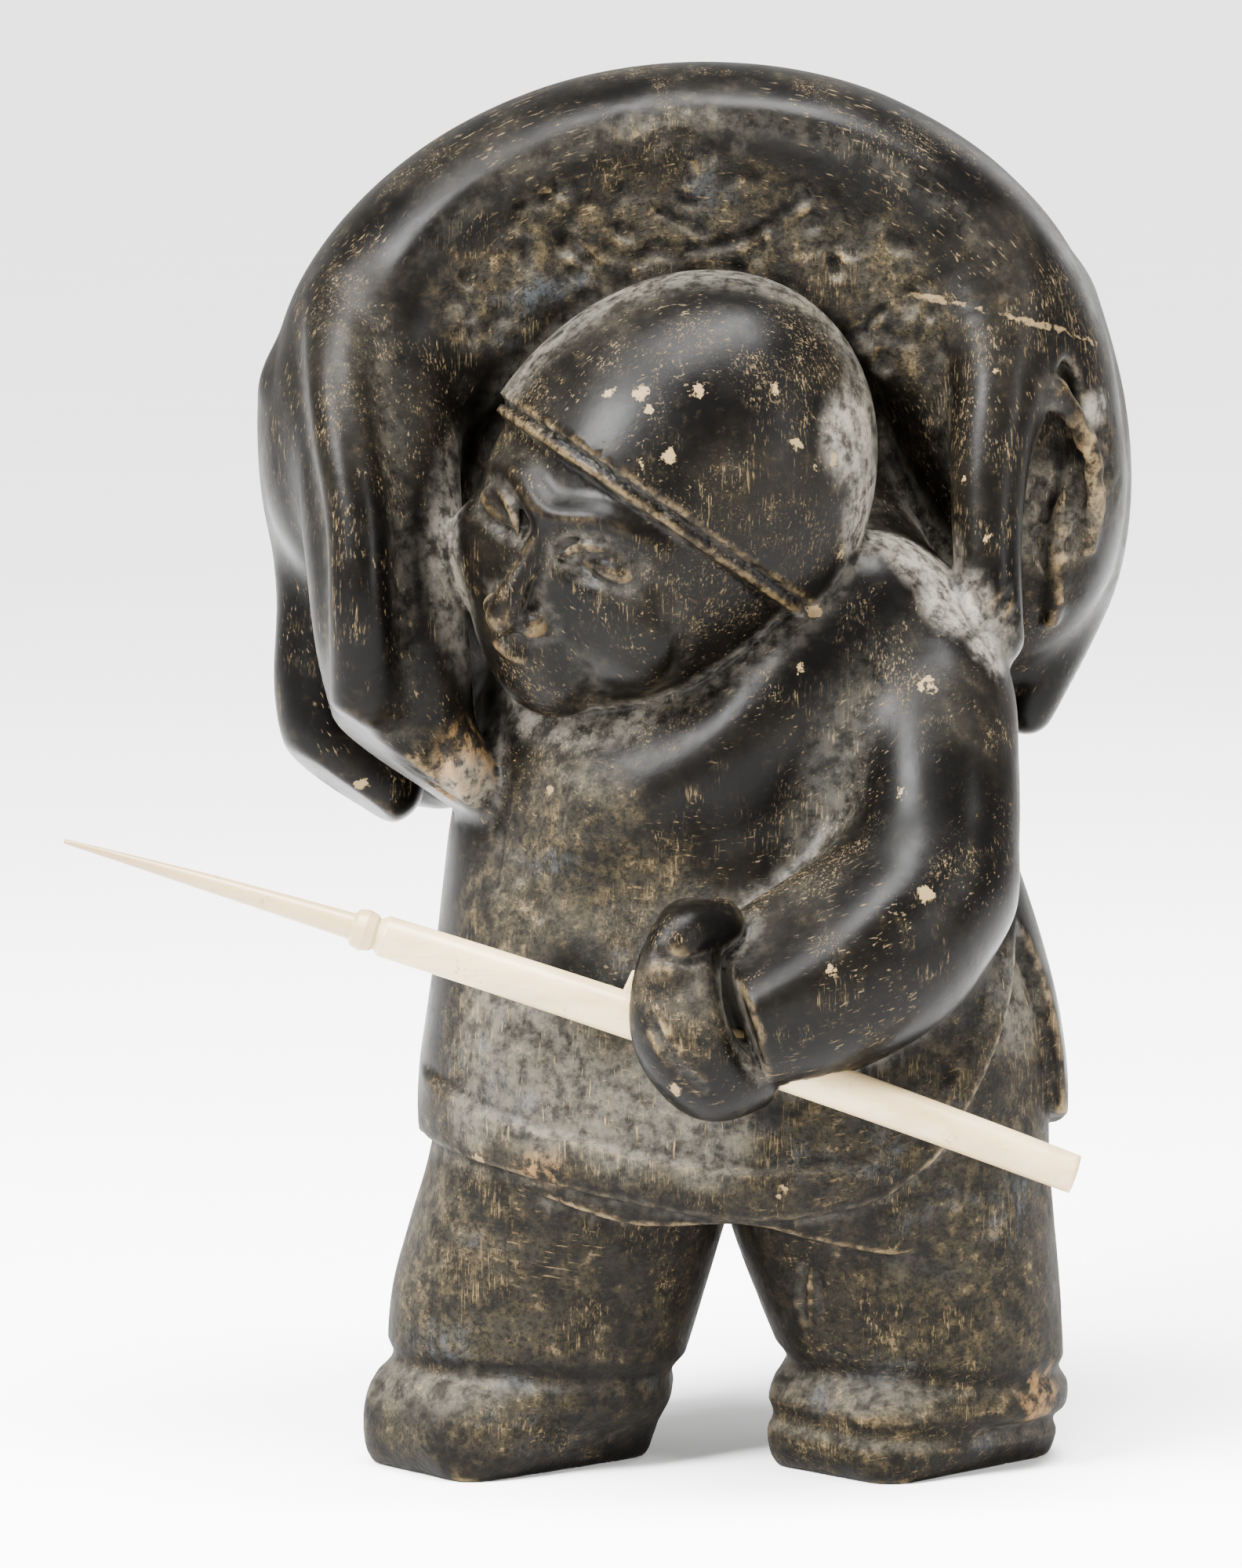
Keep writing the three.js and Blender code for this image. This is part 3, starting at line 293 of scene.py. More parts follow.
# Places of the finish: rows of x, y, z, radius, in percent of height
ROUGH_PLACES = [
    [-1.75, -4.15, 90.16, 8.47], [6.04, -4.26, 87.94, 6.21], [-9.54, -4.59, 87.95, 6.21],
    [11.04, -4.68, 86.29, 6.21], [-15.09, -5.31, 83.54, 5.08], [-18.36, -11.98, 49.6, 5.08],
    [25.15, -2.46, 71.11, 6.78], [25.16, -2.89, 63.85, 4.52], [14.38, -5.13, 81.31, 5.08],
    [11.3, -15.42, 76.33, 3.39],
]
MATTE_PLACES = [
    [-9.49, -15.67, 45.56, 8.47], [-13.38, -13.23, 41.4, 6.78], [-4, -17.46, 41.91, 6.21],
    [-15.04, -13.57, 31.97, 7.34], [-8.39, -18.3, 27.09, 9.03], [0.38, -20.02, 24.02, 7.34],
    [9.14, -19.78, 24.54, 6.78], [16.89, -17.29, 29.16, 6.21], [22.13, -10.99, 32.74, 6.78],
    [23.9, -9.82, 24.15, 6.78], [-1.89, -30.22, 35.88, 5.08],
]
DUSTY_PLACES = [
    [10.71, -17.13, 74.25, 4.23], [11.62, -14.46, 69.15, 4.52], [15.05, -11.05, 65.87, 3.95],
    [17.75, -12.8, 62.41, 3.39], [20.31, -13.89, 59.19, 2.26], [13.68, -10.82, 66.68, 3.39],
    [28.41, -3.53, 75.65, 1.69], [-16.15, -11.65, 49.56, 2.82],
]
FILED_PLACES = [
    [-13.92, -14.61, 32.12, 6.21], [-10.59, -17.23, 28.59, 6.21], [-5.1, -19.33, 27.24, 5.65],
    [-16.16, -13.74, 26.41, 3.39], [0.37, -20.15, 25.7, 4.52], [22.14, -10.53, 33.8, 5.08],
    [25.16, -2.56, 68.32, 5.08],
]
OCHRE_PLACES = [
    [-16.15, -11.66, 51.23, 3.39], [-18.43, -8.8, 48.7, 2.26], [24.55, -10.06, 5.54, 2.82],
    [-11.15, -17.33, 22.5, 2.26],
]

# Tan flecks in the polished stone: rows of x, y, z, radius
FLECKS = [
    [-0.24, -21.74, 77.88, 0.51], [5.13, -20.61, 77.93, 0.4], [6.48, -20.99, 74.21, 0.51],
    [-3.64, -21.98, 76.54, 0.4], [-4.18, -21.31, 77.75, 0.56], [-6.35, -20.58, 77.71, 0.45],
    [-2.24, -23.06, 73.37, 0.51], [-4.29, -22.92, 72.87, 0.62], [9.19, -19.07, 72.9, 0.51],
    [7.91, -20.21, 72.54, 0.4], [18.54, -10.34, 70.91, 0.28], [20.87, -9.24, 78.58, 0.28],
    [15.82, -17.66, 57.17, 0.62], [15.41, -25.5, 43.42, 0.62], [13.94, -20.85, 49.98, 0.45],
    [8.86, -28.86, 38.41, 0.4], [6.92, -17.36, 58.4, 0.45], [-10.6, -14.21, 49.28, 0.45],
    [-24.25, -0.86, 48.43, 0.45], [-1.88, -28.98, 30.29, 0.45], [20.25, -11.81, 66.76, 0.34],
    [9.94, -16.28, 66.26, 0.68], [8.05, -15.71, 62.1, 0.51], [-15.61, -13.92, 23.09, 0.51],
    [5.85, -20.36, 21.86, 0.4],
]

# Pale vein through the upper right
VEIN = [
    [8.62, -12.41, 82.75, 0.17], [13.26, -4.96, 83.64, 0.17], [17.09, -6.5, 83.48, 0.17],
    [22.02, -7.98, 82.27, 0.17], [25.45, -6.1, 81.36, 0.17], [28.45, -2.39, 80.06, 0.17],
]

# Cuts of the finish: strokes through places on the surface
CUTS = [
    [[-15.44, -12.81, 33.65, 0.28], [-15.44, -13.15, 31.8, 0.28]],
    [[7.34, -13.25, 15.24, 0.34], [7.14, -12.42, 13.3, 0.4], [7.49, -11.95, 11.31, 0.34]],
    [[8.33, -13.76, 14.99, 0.34], [8.47, -13.01, 12.17, 0.34]],
    [[-12.75, -5.49, 89.76, 0.34], [-10.64, -5.2, 90.52, 0.4]],
    [[-9.43, -4.55, 87.51, 0.45], [-7.87, -4.35, 86.06, 0.51]],
    [[-16.75, -5.79, 83.45, 0.34], [-16.09, -5.6, 82.22, 0.34]],
    [[9.01, -14.65, 81.54, 0.28], [11.82, -4.76, 83.52, 0.34]],
    [[10.74, -4.01, 80.59, 0.28], [13.04, -4.91, 82.63, 0.28]],
    [[-0.63, -3.96, 86.82, 0.28], [3.81, -4.11, 87.94, 0.34], [7.69, -4.7, 90.73, 0.28]],
    [[-2.86, -4.12, 89.6, 0.28], [0.48, -4, 87.93, 0.34]],
    [[18.33, -12.18, 62.36, 0.23], [20.33, -13.31, 59.58, 0.34], [22.4, -11.4, 61.75, 0.23]],
    [[18.95, -11.72, 63.71, 0.23], [20.36, -12.4, 61.28, 0.28], [21.93, -11.69, 63.32, 0.23]],
    [[-13.95, -11.32, 46.19, 0.28], [-14.39, -12.01, 42.37, 0.28]],
    [[-10.6, -14.73, 44.35, 0.28], [-11.15, -15.07, 40.51, 0.28]],
    [[-9.38, -15.48, 49.41, 0.28], [-9.93, -15.35, 46.52, 0.28]],
    [[-12.38, -13.11, 45.05, 0.28], [-12.6, -13.39, 43.08, 0.28]],
    [[-3.07, -29.68, 39.87, 0.28], [-1.46, -29.79, 39.18, 0.34], [0.38, -28, 39.27, 0.28]],
    [[-3.49, -29.77, 35.28, 0.28], [-1.99, -30.14, 32.52, 0.34], [0.27, -29.18, 30.21, 0.28]],
    [[24.62, -2.26, 67.73, 0.4], [25.81, -2.59, 71.12, 0.45], [25.4, -2.54, 74.2, 0.34]],
    [[26.61, -2.97, 65.54, 0.4], [27.24, -3.28, 68.93, 0.45], [26.94, -4.27, 72.35, 0.34]],
]

# Fineness of the carved surface, in millimetres and triangles
CELL = 1.1
STONE_TRIANGLES = 190000

# Corners of the space that is searched for the stone, in percent of height
STONE_LOW = [-34, -33, -1.6]
STONE_HIGH = [34, 19, 101.5]


# Small vector helpers
def unit(v):
    v = np.asarray(v, float)
    return v / np.linalg.norm(v)


def frame_of(out, up):
    f = unit(out)
    u = unit(np.asarray(up, float) - f * np.dot(up, f))
    return np.array([np.cross(f, u), f, u])


def join(a, b, k):
    h = np.maximum(k - np.abs(a - b), 0) / k
    return np.minimum(a, b) - h * h * k / 4


def carve(a, b, k):
    return -join(-a, -b, k)


def ease(v, a, b):
    t = np.clip((v - a) / (b - a), 0, 1)
    return t * t * (3 - 2 * t)


def swell(v, centre, width):
    t = (v - centre) / width
    return np.maximum(1 - t * t, 0) ** 2


# Smooth curve through rows of numbers, with a number of steps from each row to the next
def refine(rows, steps):
    rows = np.array(rows, float)
    fine = []
    for i in range(len(rows) - 1):
        a, b, c, d = (rows[min(max(j, 0), len(rows) - 1)] for j in (i - 1, i, i + 1, i + 2))
        for t in np.arange(steps) / steps:
            bend = 2 * a - 5 * b + 4 * c - d
            cube = 3 * b - a - 3 * c + d
            fine.append(b + (t * (c - a) + t * t * bend + t ** 3 * cube) / 2)
    fine.append(rows[-1])
    return np.array(fine)


def lookup(rows):
    fine = refine(sorted(rows), 12)
    return lambda key: [np.interp(key, fine[:, 0], column) for column in fine[:, 1:].T]


# Evaluates a distance only at the points within reach of a ball, others get the ball's distance
def within(centre, reach, exact):
    def distance(p):
        far = np.linalg.norm(p - centre, axis=1) - reach
        near = far < 6
        if near.any():
            far[near] = exact(p[near])
        return far
    return distance


# Distance to a limb of round sections through rows of x, y, z, radius
def limb(rows, steps=6):
    path = refine(rows, steps)
    centre = path[:, :3].mean(axis=0)
    reach = (np.linalg.norm(path[:, :3] - centre, axis=1) + path[:, 3]).max()

    def exact(p):
        best = np.full(len(p), np.inf)
        for a, b in zip(path[:-1], path[1:]):
            d = b[:3] - a[:3]
            q = p - a[:3]
            t = np.clip(q @ d / (d @ d), 0, 1)
            gap = np.sqrt(((q - t[:, None] * d) ** 2).sum(axis=1))
            np.minimum(best, gap - a[3] - (b[3] - a[3]) * t, out=best)
        return best
    return within(centre, reach, exact)


# Distance to an egg of three half sizes, in an upright or turned frame
def egg(centre, size, turned=None):
    turned = np.eye(3) if turned is None else turned
    size = np.array(size, float)

    def exact(p):
        q = (p - np.array(centre)) @ turned.T / size
        level = np.linalg.norm(q, axis=1)
        steep = np.linalg.norm(q / size, axis=1) + 1e-9
        return level * (level - 1) / steep
    return within(np.array(centre, float), max(size), exact)


def flat(place, facing):
    n = unit(facing)
    return lambda p: (p - np.array(place)) @ n


def block(centre, size, round_edge, turned):
    def exact(p):
        q = np.abs((p - np.array(centre)) @ turned.T) - np.array(size) + round_edge
        outer = np.linalg.norm(np.maximum(q, 0), axis=1)
        return outer + np.minimum(q.max(axis=1), 0) - round_edge
    return within(np.array(centre, float), np.linalg.norm(size), exact)


def oval(u, v, a, b, fullness):
    s = np.abs(u) / a
    t = np.abs(v) / b
    total = s ** fullness + t ** fullness + 1e-12
    base = total ** (1 / fullness - 1)
    steep = np.hypot(base * s ** (fullness - 1) / a, base * t ** (fullness - 1) / b)
    return (total ** (1 / fullness) - 1) / np.maximum(steep, 1 / np.maximum(a, b))


def upright(levels, round_edge, fullness):
    at = lookup(levels)
    low = min(row[0] for row in levels)
    high = max(row[0] for row in levels)

    def distance(p):
        x, y, z = p.T
        cx, cy, rx, ry = at(z)
        wall = oval(x - cx, y - cy, rx, ry, fullness) + round_edge
        cap = np.maximum(low - z, z - high) + round_edge
        outer = np.hypot(np.maximum(wall, 0), np.maximum(cap, 0))
        return outer + np.minimum(np.maximum(wall, cap), 0) - round_edge
    return distance


def bent(centre, rows):
    at = lookup(rows)
    first, last = rows[0][0], rows[-1][0]

    def distance(p):
        x, y, z = p.T
        r = np.hypot(x - centre[0], z - centre[2])
        angle = np.degrees(np.arctan2(z - centre[2], x - centre[0]))
        angle = np.where(angle < -100, angle + 360, angle)
        outer, inner, depth, half = at(angle)
        wall = oval(r - (outer + inner) / 2, y - depth, (outer - inner) / 2, half, 2.4)
        over = np.radians(np.maximum(first - angle, angle - last)) * r
        return np.where(over > 0, np.maximum(wall, over), wall)
    return distance


# Trunk with the parka's hems: front panel with a trim band, rear flap, garment beneath
trunk_wall = upright(TRUNK, 3.3, 2.2)
front_hem = lookup(FRONT_HEM)
rear_hem = lookup(REAR_HEM)
under_hem = lookup(UNDER_HEM)
flap_edge = lookup(FLAP_EDGE)
band_width = lookup(BAND)


def trunk(p):
    wall = trunk_wall(p)
    near = (wall < 8) & (p[:, 2] < HIP + 6)
    x, y, z = p[near].T
    w = wall[near]
    angle = np.degrees(np.arctan2(y - TRUNK_AXIS[1], x - TRUNK_AXIS[0]))
    under = carve(w + HEM_STEP, under_hem(angle)[0] - z, 0.5)
    slope = (front_hem(angle + 1)[0] - front_hem(angle - 1)[0]) / 0.75
    lift = (z - front_hem(angle)[0]) / np.hypot(1, slope)
    band = band_width(angle)[0]
    sunk = BAND_RELIEF * ease(lift, band - 0.2, band + 0.6) + BAND_CREASE * swell(lift, band, 0.6)
    faded = sunk * ease(z, HIP + 6, HIP - 10) * ease(angle, -178, -158)
    front = np.where(angle < -8, carve(w + faded, -lift, 1), 99)
    flap = carve(w, rear_hem(angle)[0] - z, 0.5)
    rear = np.where(angle > -60, carve(flap, (flap_edge(z)[0] - angle) * 0.37, 0.5), 99)
    worn = np.minimum(np.minimum(under, front), rear)
    wall[near] = worn + (np.minimum(worn, w) - worn) * ease(z, HIP - 2, HIP + 2)
    return wall


# Head in its hood: the hood ends in a stepped brim and the face lies deeper
hood = egg(HEAD_CENTRE, HEAD_SIZE, frame_of(HEAD_OUT, HEAD_CROWN))
beyond_brim = flat(BRIM_PLACE, BRIM_FACING)


def bare_head(p):
    s = beyond_brim(p)
    brim = BRIM_STEP * ease(s, -0.15, 0.15) + BRIM_GROOVE * swell(s, 0.25, 0.3)
    return hood(p) + brim + (FACE_DEPTH - BRIM_STEP) * ease(s, BRIM_WIDTH - 0.4, BRIM_WIDTH)


# A place on the face, given as side, up and out from the bare surface
face_frame = frame_of(FACE_FACING, FACE_UP)


def on_face(side, up, out):
    p = np.array(HEAD_CENTRE) + face_frame[0] * side + face_frame[2] * (up + FACE_DROP)
    p = p + face_frame[1] * 25
    for _ in range(60):
        p = p - face_frame[1] * 0.5 * (hood(p[None])[0] + FACE_DEPTH)
    return p + face_frame[1] * out


def on_both_sides(make):
    a, b = make(1), make(-1)
    return lambda p: np.minimum(a(p), b(p))


def stroke(rows):
    return limb([[*on_face(s, u, o), r] for s, u, o, r in rows], 5)


def lump(side, up, out, size):
    return egg(on_face(side, up, out), size, face_frame)


cheeks = on_both_sides(lambda m: lump(m * 6.6, NOSE_LINE - 0.2, -1.4, [3.6, 2.2, 3.8]))
brow_ridge = stroke([
    [-7.4, EYE_LINE + 1.2, -0.4, 0.5],
    [-4, EYE_LINE + 2.7, 0, 0.8],
    [0, EYE_LINE + 2, 0.2, 0.8],
    [4, EYE_LINE + 2.7, 0, 0.8],
    [7.4, EYE_LINE + 1.2, -0.4, 0.5],
])
sockets = on_both_sides(lambda m: lump(m * EYE_SIDE, EYE_LINE + 0.2, 0.8, [3.3, 1.7, 1.7]))
eyes = on_both_sides(lambda m: lump(m * EYE_SIDE, EYE_LINE - 0.1, -0.75, [2.5, 1.3, 1.05]))
lids = on_both_sides(lambda m: stroke([
    [m * (EYE_SIDE - 2.6), EYE_LINE - 0.4, 0, 0.25],
    [m * (EYE_SIDE - 1.2), EYE_LINE + 0.9, 0.25, 0.4],
    [m * (EYE_SIDE + 0.8), EYE_LINE + 0.9, 0.2, 0.4],
    [m * (EYE_SIDE + 2.6), EYE_LINE - 0.2, 0, 0.25],
]))
nose_ridge = stroke([
    [0, EYE_LINE + 1.6, -0.4, 0.8],
    [0, EYE_LINE - 1.6, 0.5, 0.9],
    [0, NOSE_LINE + 2, 1.2, 1.15],
    [0, NOSE_LINE + 0.4, 1.6, 1.4],
])
nostrils = on_both_sides(lambda m: lump(m * 1.6, NOSE_LINE, 0.5, [1.1, 1.3, 0.95]))
muzzle = lump(0, MOUTH_LINE - 0.2, -1, [5, 1.9, 3.1])
lip_upper = stroke([
    [-3.6, MOUTH_LINE - 0.2, -0.1, 0.3],
    [-1.5, MOUTH_LINE + 0.7, 0.5, 0.55],
    [0, MOUTH_LINE + 0.5, 0.6, 0.55],
    [1.5, MOUTH_LINE + 0.7, 0.5, 0.55],
    [3.6, MOUTH_LINE - 0.2, -0.1, 0.3],
])
lip_lower = stroke([
    [-3.2, MOUTH_LINE - 0.6, -0.1, 0.3],
    [-1.4, MOUTH_LINE - 1, 0.4, 0.6],
    [1.4, MOUTH_LINE - 1, 0.4, 0.6],
    [3.2, MOUTH_LINE - 0.6, -0.1, 0.3],
])
chin = lump(0, CHIN_LINE + 1.4, -1, [3.8, 2.1, 2.3])
face_parts = [
    (cheeks, 2.2),
    (brow_ridge, 1.5),
    (muzzle, 1.6),
    (chin, 1.6),
    (nose_ridge, 0.7),
    (nostrils, 0.5),
    (lip_upper, 0.3),
    (lip_lower, 0.3),
]


def head(p):
    d = bare_head(p)
    near = d < 4
    q = p[near]
    f = carve(d[near], -sockets(q), 0.9)
    f = join(f, eyes(q), 0.3)
    f = join(f, lids(q), 0.3)
    for part, k in face_parts:
        f = join(f, part(q), k)
    d[near] = f
    return d


# Animal over the shoulders, with a hollow along its near side
carried = bent(CARRY_CENTRE, CARRY)
hollow = bent(CARRY_CENTRE, HOLLOW)
prey_head = limb(HEAD_OF_PREY)
pit = egg(PIT_CENTRE, PIT_SIZE)
prey_ear = limb(PREY_EAR)
prey_cheek = limb(PREY_CHEEK)
far_leg = limb(FAR_LEG)
near_leg = limb(NEAR_LEG)
near_shin = limb(NEAR_SHIN)
near_hoof = flat(NEAR_HOOF, NEAR_HOOF_FACING)
outer_leg = limb(OUTER_LEG)
outer_hoof = flat(OUTER_HOOF, OUTER_HOOF_FACING)
back_fill = egg(BACK_CENTRE, BACK_SIZE)
side_fill = egg(FILL_CENTRE, FILL_SIZE)


def prey(p):
    d = carve(carried(p), -hollow(p), 3)
    d = join(d, prey_head(p), 1.4)
    d = carve(d, -pit(p), 1)
    d = join(d, np.minimum(prey_ear(p), prey_cheek(p)), 0.5)
    d = join(d, far_leg(p), 2.7)
    near = carve(join(near_leg(p), near_shin(p), 3), near_hoof(p), 0.4)
    outer = carve(outer_leg(p), outer_hoof(p), 0.4)
    return join(d, join(near, outer, 0.4), 1.7)


# Arms, hands, legs and boots
collar = limb(COLLAR)
upper_arm = limb(UPPER_ARM)
fore_arm = limb(FOREARM)
arm_flat = flat(FOREARM_FLAT["place"], FOREARM_FLAT["facing"])
cuff = flat(CUFF_PLACE, CUFF_FACING)
hand = limb(HAND)
thumb = limb(THUMB)
raised_arm = limb(RAISED_ARM)
legs = [upright(LEG_LEFT, 1.7, 2.3), upright(LEG_RIGHT, 1.7, 2.3)]


def boot(form):
    a = math.radians(form["turn"])
    x, y, _ = form["place"]
    turned = frame_of([-math.sin(a), -math.cos(a), 0], [0, 0, 1])
    plain = block([x, y, BOOT_LIFT], form["size"], BOOT_ROUND, turned)
    width, length, _ = form["size"]
    plan = egg([x, y, BOOT_LIFT], [width * TOE_ROUND, length * TOE_ROUND, HIP], turned)

    def sunk(p):
        height = p[:, 2] + 0.05 * (p[:, 0] - x)
        return CREASE_DEPTH * sum(swell(height, level, CREASE_WIDTH) for level in form["creases"])
    return lambda p: carve(plain(p), plan(p), 1.5), sunk


boots = [boot(BOOT_LEFT), boot(BOOT_RIGHT)]

# Harpoon: its path, and its diameters along the length in millimetres
slope = math.radians(HARPOON_SLOPE)
thrust = np.array([math.cos(slope), 0, -math.sin(slope)])
above = np.array([math.sin(slope), 0, math.cos(slope)])
inward = np.array([0, 1, 0])
tip = np.array(HARPOON_TIP) * UNIT
collar_end = BLADE_LENGTH + COLLAR_LENGTH
PROFILE = [
    [0, TIP_DIAMETER],
    [BLADE_LENGTH * 0.5, BLADE_BASE_DIAMETER * 0.66],
    [BLADE_LENGTH, BLADE_BASE_DIAMETER],
    [BLADE_LENGTH + COLLAR_LENGTH * 0.15, COLLAR_DIAMETER * 0.9],
    [BLADE_LENGTH + COLLAR_LENGTH * 0.5, COLLAR_DIAMETER],
    [BLADE_LENGTH + COLLAR_LENGTH * 0.85, COLLAR_DIAMETER * 0.9],
    [collar_end, COLLAR_DIAMETER * 0.9 - 2 * COLLAR_GROOVE_DEPTH],
    [collar_end + 1.5, COLLAR_DIAMETER],
    [PEG_PLACE, SHAFT_DIAMETER],
    [HARPOON_LENGTH, BUTT_DIAMETER],
]


def place_at(s):
    t = 2 * s / HARPOON_LENGTH - 1
    return tip + thrust * s + above * HARPOON_BOW * (1 - t * t)


bore_rows = [[*(place_at(s) / UNIT), (SHAFT_DIAMETER / 2 + FIT) / UNIT] for s in range(80, 222, 10)]
bore = limb(bore_rows, 2)


# Strokes of the chisel, then uneven dressing of the stone where it was left rough
cuts = [limb(rows, 4) for rows in CUTS]


def in_places(p, rows):
    total = np.zeros(len(p))
    for x, y, z, r in rows:
        gap = np.linalg.norm(p - [x, y, z], axis=1)
        np.maximum(total, 1 - ease(gap, r * 0.5, r), out=total)
    return total


def waves(p, size, seed):
    total = np.zeros(len(p))
    for k in range(5):
        turn = np.sin(np.array([1.3, 2.1, 3.7]) * (k + seed))
        along_wave = p @ (turn / np.linalg.norm(turn)) / size * (1 + 0.37 * k) + 1.7 * k
        total += np.sin(along_wave + 1.5 * np.sin(p @ np.roll(turn, 1) / size)) / (1 + 0.4 * k)
    return total / 2.5


def chiselled(p, d):
    near = np.abs(d) < 1.5
    q = p[near]
    rough = in_places(q, ROUGH_PLACES)
    matte = np.maximum(0.35 * in_places(q, MATTE_PLACES), 0.45 * ease(q[:, 2], 29, 24))
    facets = np.abs(waves(q, 0.85, 3)) - 0.35
    out = np.zeros(len(p))
    out[near] = rough * 0.62 * facets + matte * 0.12 * waves(q, 0.7, 5) + 0.03 * waves(q, 2.6, 1)
    return np.maximum(out, 0) + 0.02


# The whole carving, in percent of its height
def stone(p):
    d = join(trunk(p), back_fill(p), 3.3)
    d = join(d, side_fill(p), 2)
    d = join(d, collar(p), 4)
    d = join(d, upper_arm(p), 4.6)
    d = join(d, prey(p), 0.9)
    d = join(d, raised_arm(p), 1)
    stance = [join(leg(p), foot(p), 2.4) + sunk(p) for leg, (foot, sunk) in zip(legs, boots)]
    d = join(d, np.minimum(*stance), 0.5)
    sleeve = carve(fore_arm(p), arm_flat(p), 1)
    d = join(d, carve(sleeve, cuff(p), 0.5), 1.3)
    d = join(d, join(hand(p), thumb(p), 0.5), 0.4)
    d = join(d, head(p), 0.5)
    for cut in cuts:
        d = carve(d, -cut(p), 0.25)
    d = carve(d, -bore(p), 0.15)
    return np.maximum(d + chiselled(p, d), -p[:, 2])


# Values of the field on a grid, worked out only near the surface
def sample(field, low, high, cell):
    count = np.ceil((high - low) / cell).astype(int) // 4 * 4 + 4
    coarse = np.stack(np.meshgrid(*(np.arange(n // 4) for n in count), indexing="ij"), -1).reshape(-1, 3)
    value = field(low + (coarse * 4 + 1.5) * cell)
    grid = np.repeat(np.repeat(np.repeat(value.reshape(count // 4), 4, 0), 4, 1), 4, 2)
    near = coarse[np.abs(value) < 4.6 * cell] * 4
    inner = np.stack(np.meshgrid(*[np.arange(4)] * 3, indexing="ij"), -1).reshape(-1, 3)
    for part in np.array_split(near, max(len(near) // 4000, 1)):
        index = (part[:, None] + inner).reshape(-1, 3)
        grid[tuple(index.T)] = field(low + index * cell)
    return grid


# Closed surface through a sampled field: one corner in each cell that the surface crosses,
# joined by a square round each grid edge that it crosses
def surface(grid, low, cell):
    inside = grid < 0
    corners = np.stack(np.meshgrid(*[np.arange(2)] * 3, indexing="ij"), -1).reshape(-1, 3)
    shape = np.array(grid.shape) - 1
    count = sum(inside[a:a + shape[0], b:b + shape[1], c:c + shape[2]].astype(np.int8)
                for a, b, c in corners)
    cells = np.argwhere((count > 0) & (count < 8))
    number = np.full(shape, -1)
    number[tuple(cells.T)] = np.arange(len(cells))
    total = np.zeros((len(cells), 3))
    crossings = np.zeros(len(cells))
    for a in corners:
        for axis in range(3):
            if a[axis]:
                continue
            b = a.copy()
            b[axis] = 1
            va, vb = grid[tuple((cells + a).T)], grid[tuple((cells + b).T)]
            cut = (va < 0) != (vb < 0)
            t = np.where(cut, va / np.where(cut, va - vb, 1), 0)
            total += np.where(cut[:, None], a + (b - a) * t[:, None], 0)
            crossings += cut
    points = low + (cells + total / crossings[:, None]) * cell
    quads = []
    for axis in range(3):
        u, v = (axis + 1) % 3, (axis + 2) % 3
        near = [slice(1, -1)] * 3
        near[axis] = slice(0, -1)
        far = list(near)
        far[axis] = slice(1, None)
        a, b = inside[tuple(near)], inside[tuple(far)]
        at = np.argwhere(a != b) + [0 if k == axis else 1 for k in range(3)]
        outward = inside[tuple(at.T)]
        du, dv = np.eye(3, dtype=int)[u], np.eye(3, dtype=int)[v]
        square = np.stack([number[tuple((at - du - dv).T)], number[tuple((at - dv).T)],
                           number[tuple(at.T)], number[tuple((at - du).T)]], 1)
        quads.append(np.where(outward[:, None], square, square[:, ::-1]))
    return points, np.concatenate(quads)


# Moves points along the field's steepest direction onto the surface
def settle(field, points):
    step = 0.02
    for _ in range(2):
        value = field(points)
        slope = np.stack([(field(points + step * axis) - value) / step for axis in np.eye(3)], 1)
        size = np.maximum(np.linalg.norm(slope, axis=1), 0.3)
        move = np.clip(value / size ** 2, -0.25, 0.25)
        points = points - slope * move[:, None]
    return points


# Where the forms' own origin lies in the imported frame, in millimetres, from the harpoon's box
lowest, highest = (np.array(c) * 1000 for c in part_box("harpoon"))
SHIFT = np.array([
    lowest[0] - tip[0] + TIP_DIAMETER / 2 * math.sin(slope),
    (lowest[1] + highest[1]) / 2 - tip[1],
    0,
])


def to_frame(points_mm):
    return (np.asarray(points_mm) + SHIFT) / 1000


def mesh_object(name, points_mm, faces):
    mesh = bpy.data.meshes.new(name)
    mesh.from_pydata(to_frame(points_mm).tolist(), [], np.asarray(faces).tolist())
    mesh.update()
    piece = bpy.data.objects.new(name, mesh)
    bpy.context.scene.collection.objects.link(piece)
    return piece


def smooth(mesh):
    mesh.polygons.foreach_set("use_smooth", np.ones(len(mesh.polygons), bool))
    mesh.update()


def apply_modifiers(piece):
    graph = bpy.context.evaluated_depsgraph_get()
    mesh = bpy.data.meshes.new_from_object(piece.evaluated_get(graph))
    piece.modifiers.clear()
    piece.data = mesh
    smooth(mesh)


def store(mesh, name, values):
    layer = mesh.attributes.new(name, "FLOAT", "POINT")
    layer.data.foreach_set("value", np.asarray(values, np.float32))


# Carving: the fine surface, thinned where it is plain
low, high = np.array(STONE_LOW, float), np.array(STONE_HIGH, float)
cell = CELL / UNIT
points, quads = surface(sample(stone, low, high, cell), low, cell)
points = settle(stone, points)
points[:, 2] = np.maximum(points[:, 2], 0)
carving = mesh_object("stone_carving", points * UNIT, quads)
faces_now = 2 * len(quads)
if faces_now > STONE_TRIANGLES:
    thin = carving.modifiers.new("thin", "DECIMATE")
    thin.ratio = STONE_TRIANGLES / faces_now
apply_modifiers(carving)

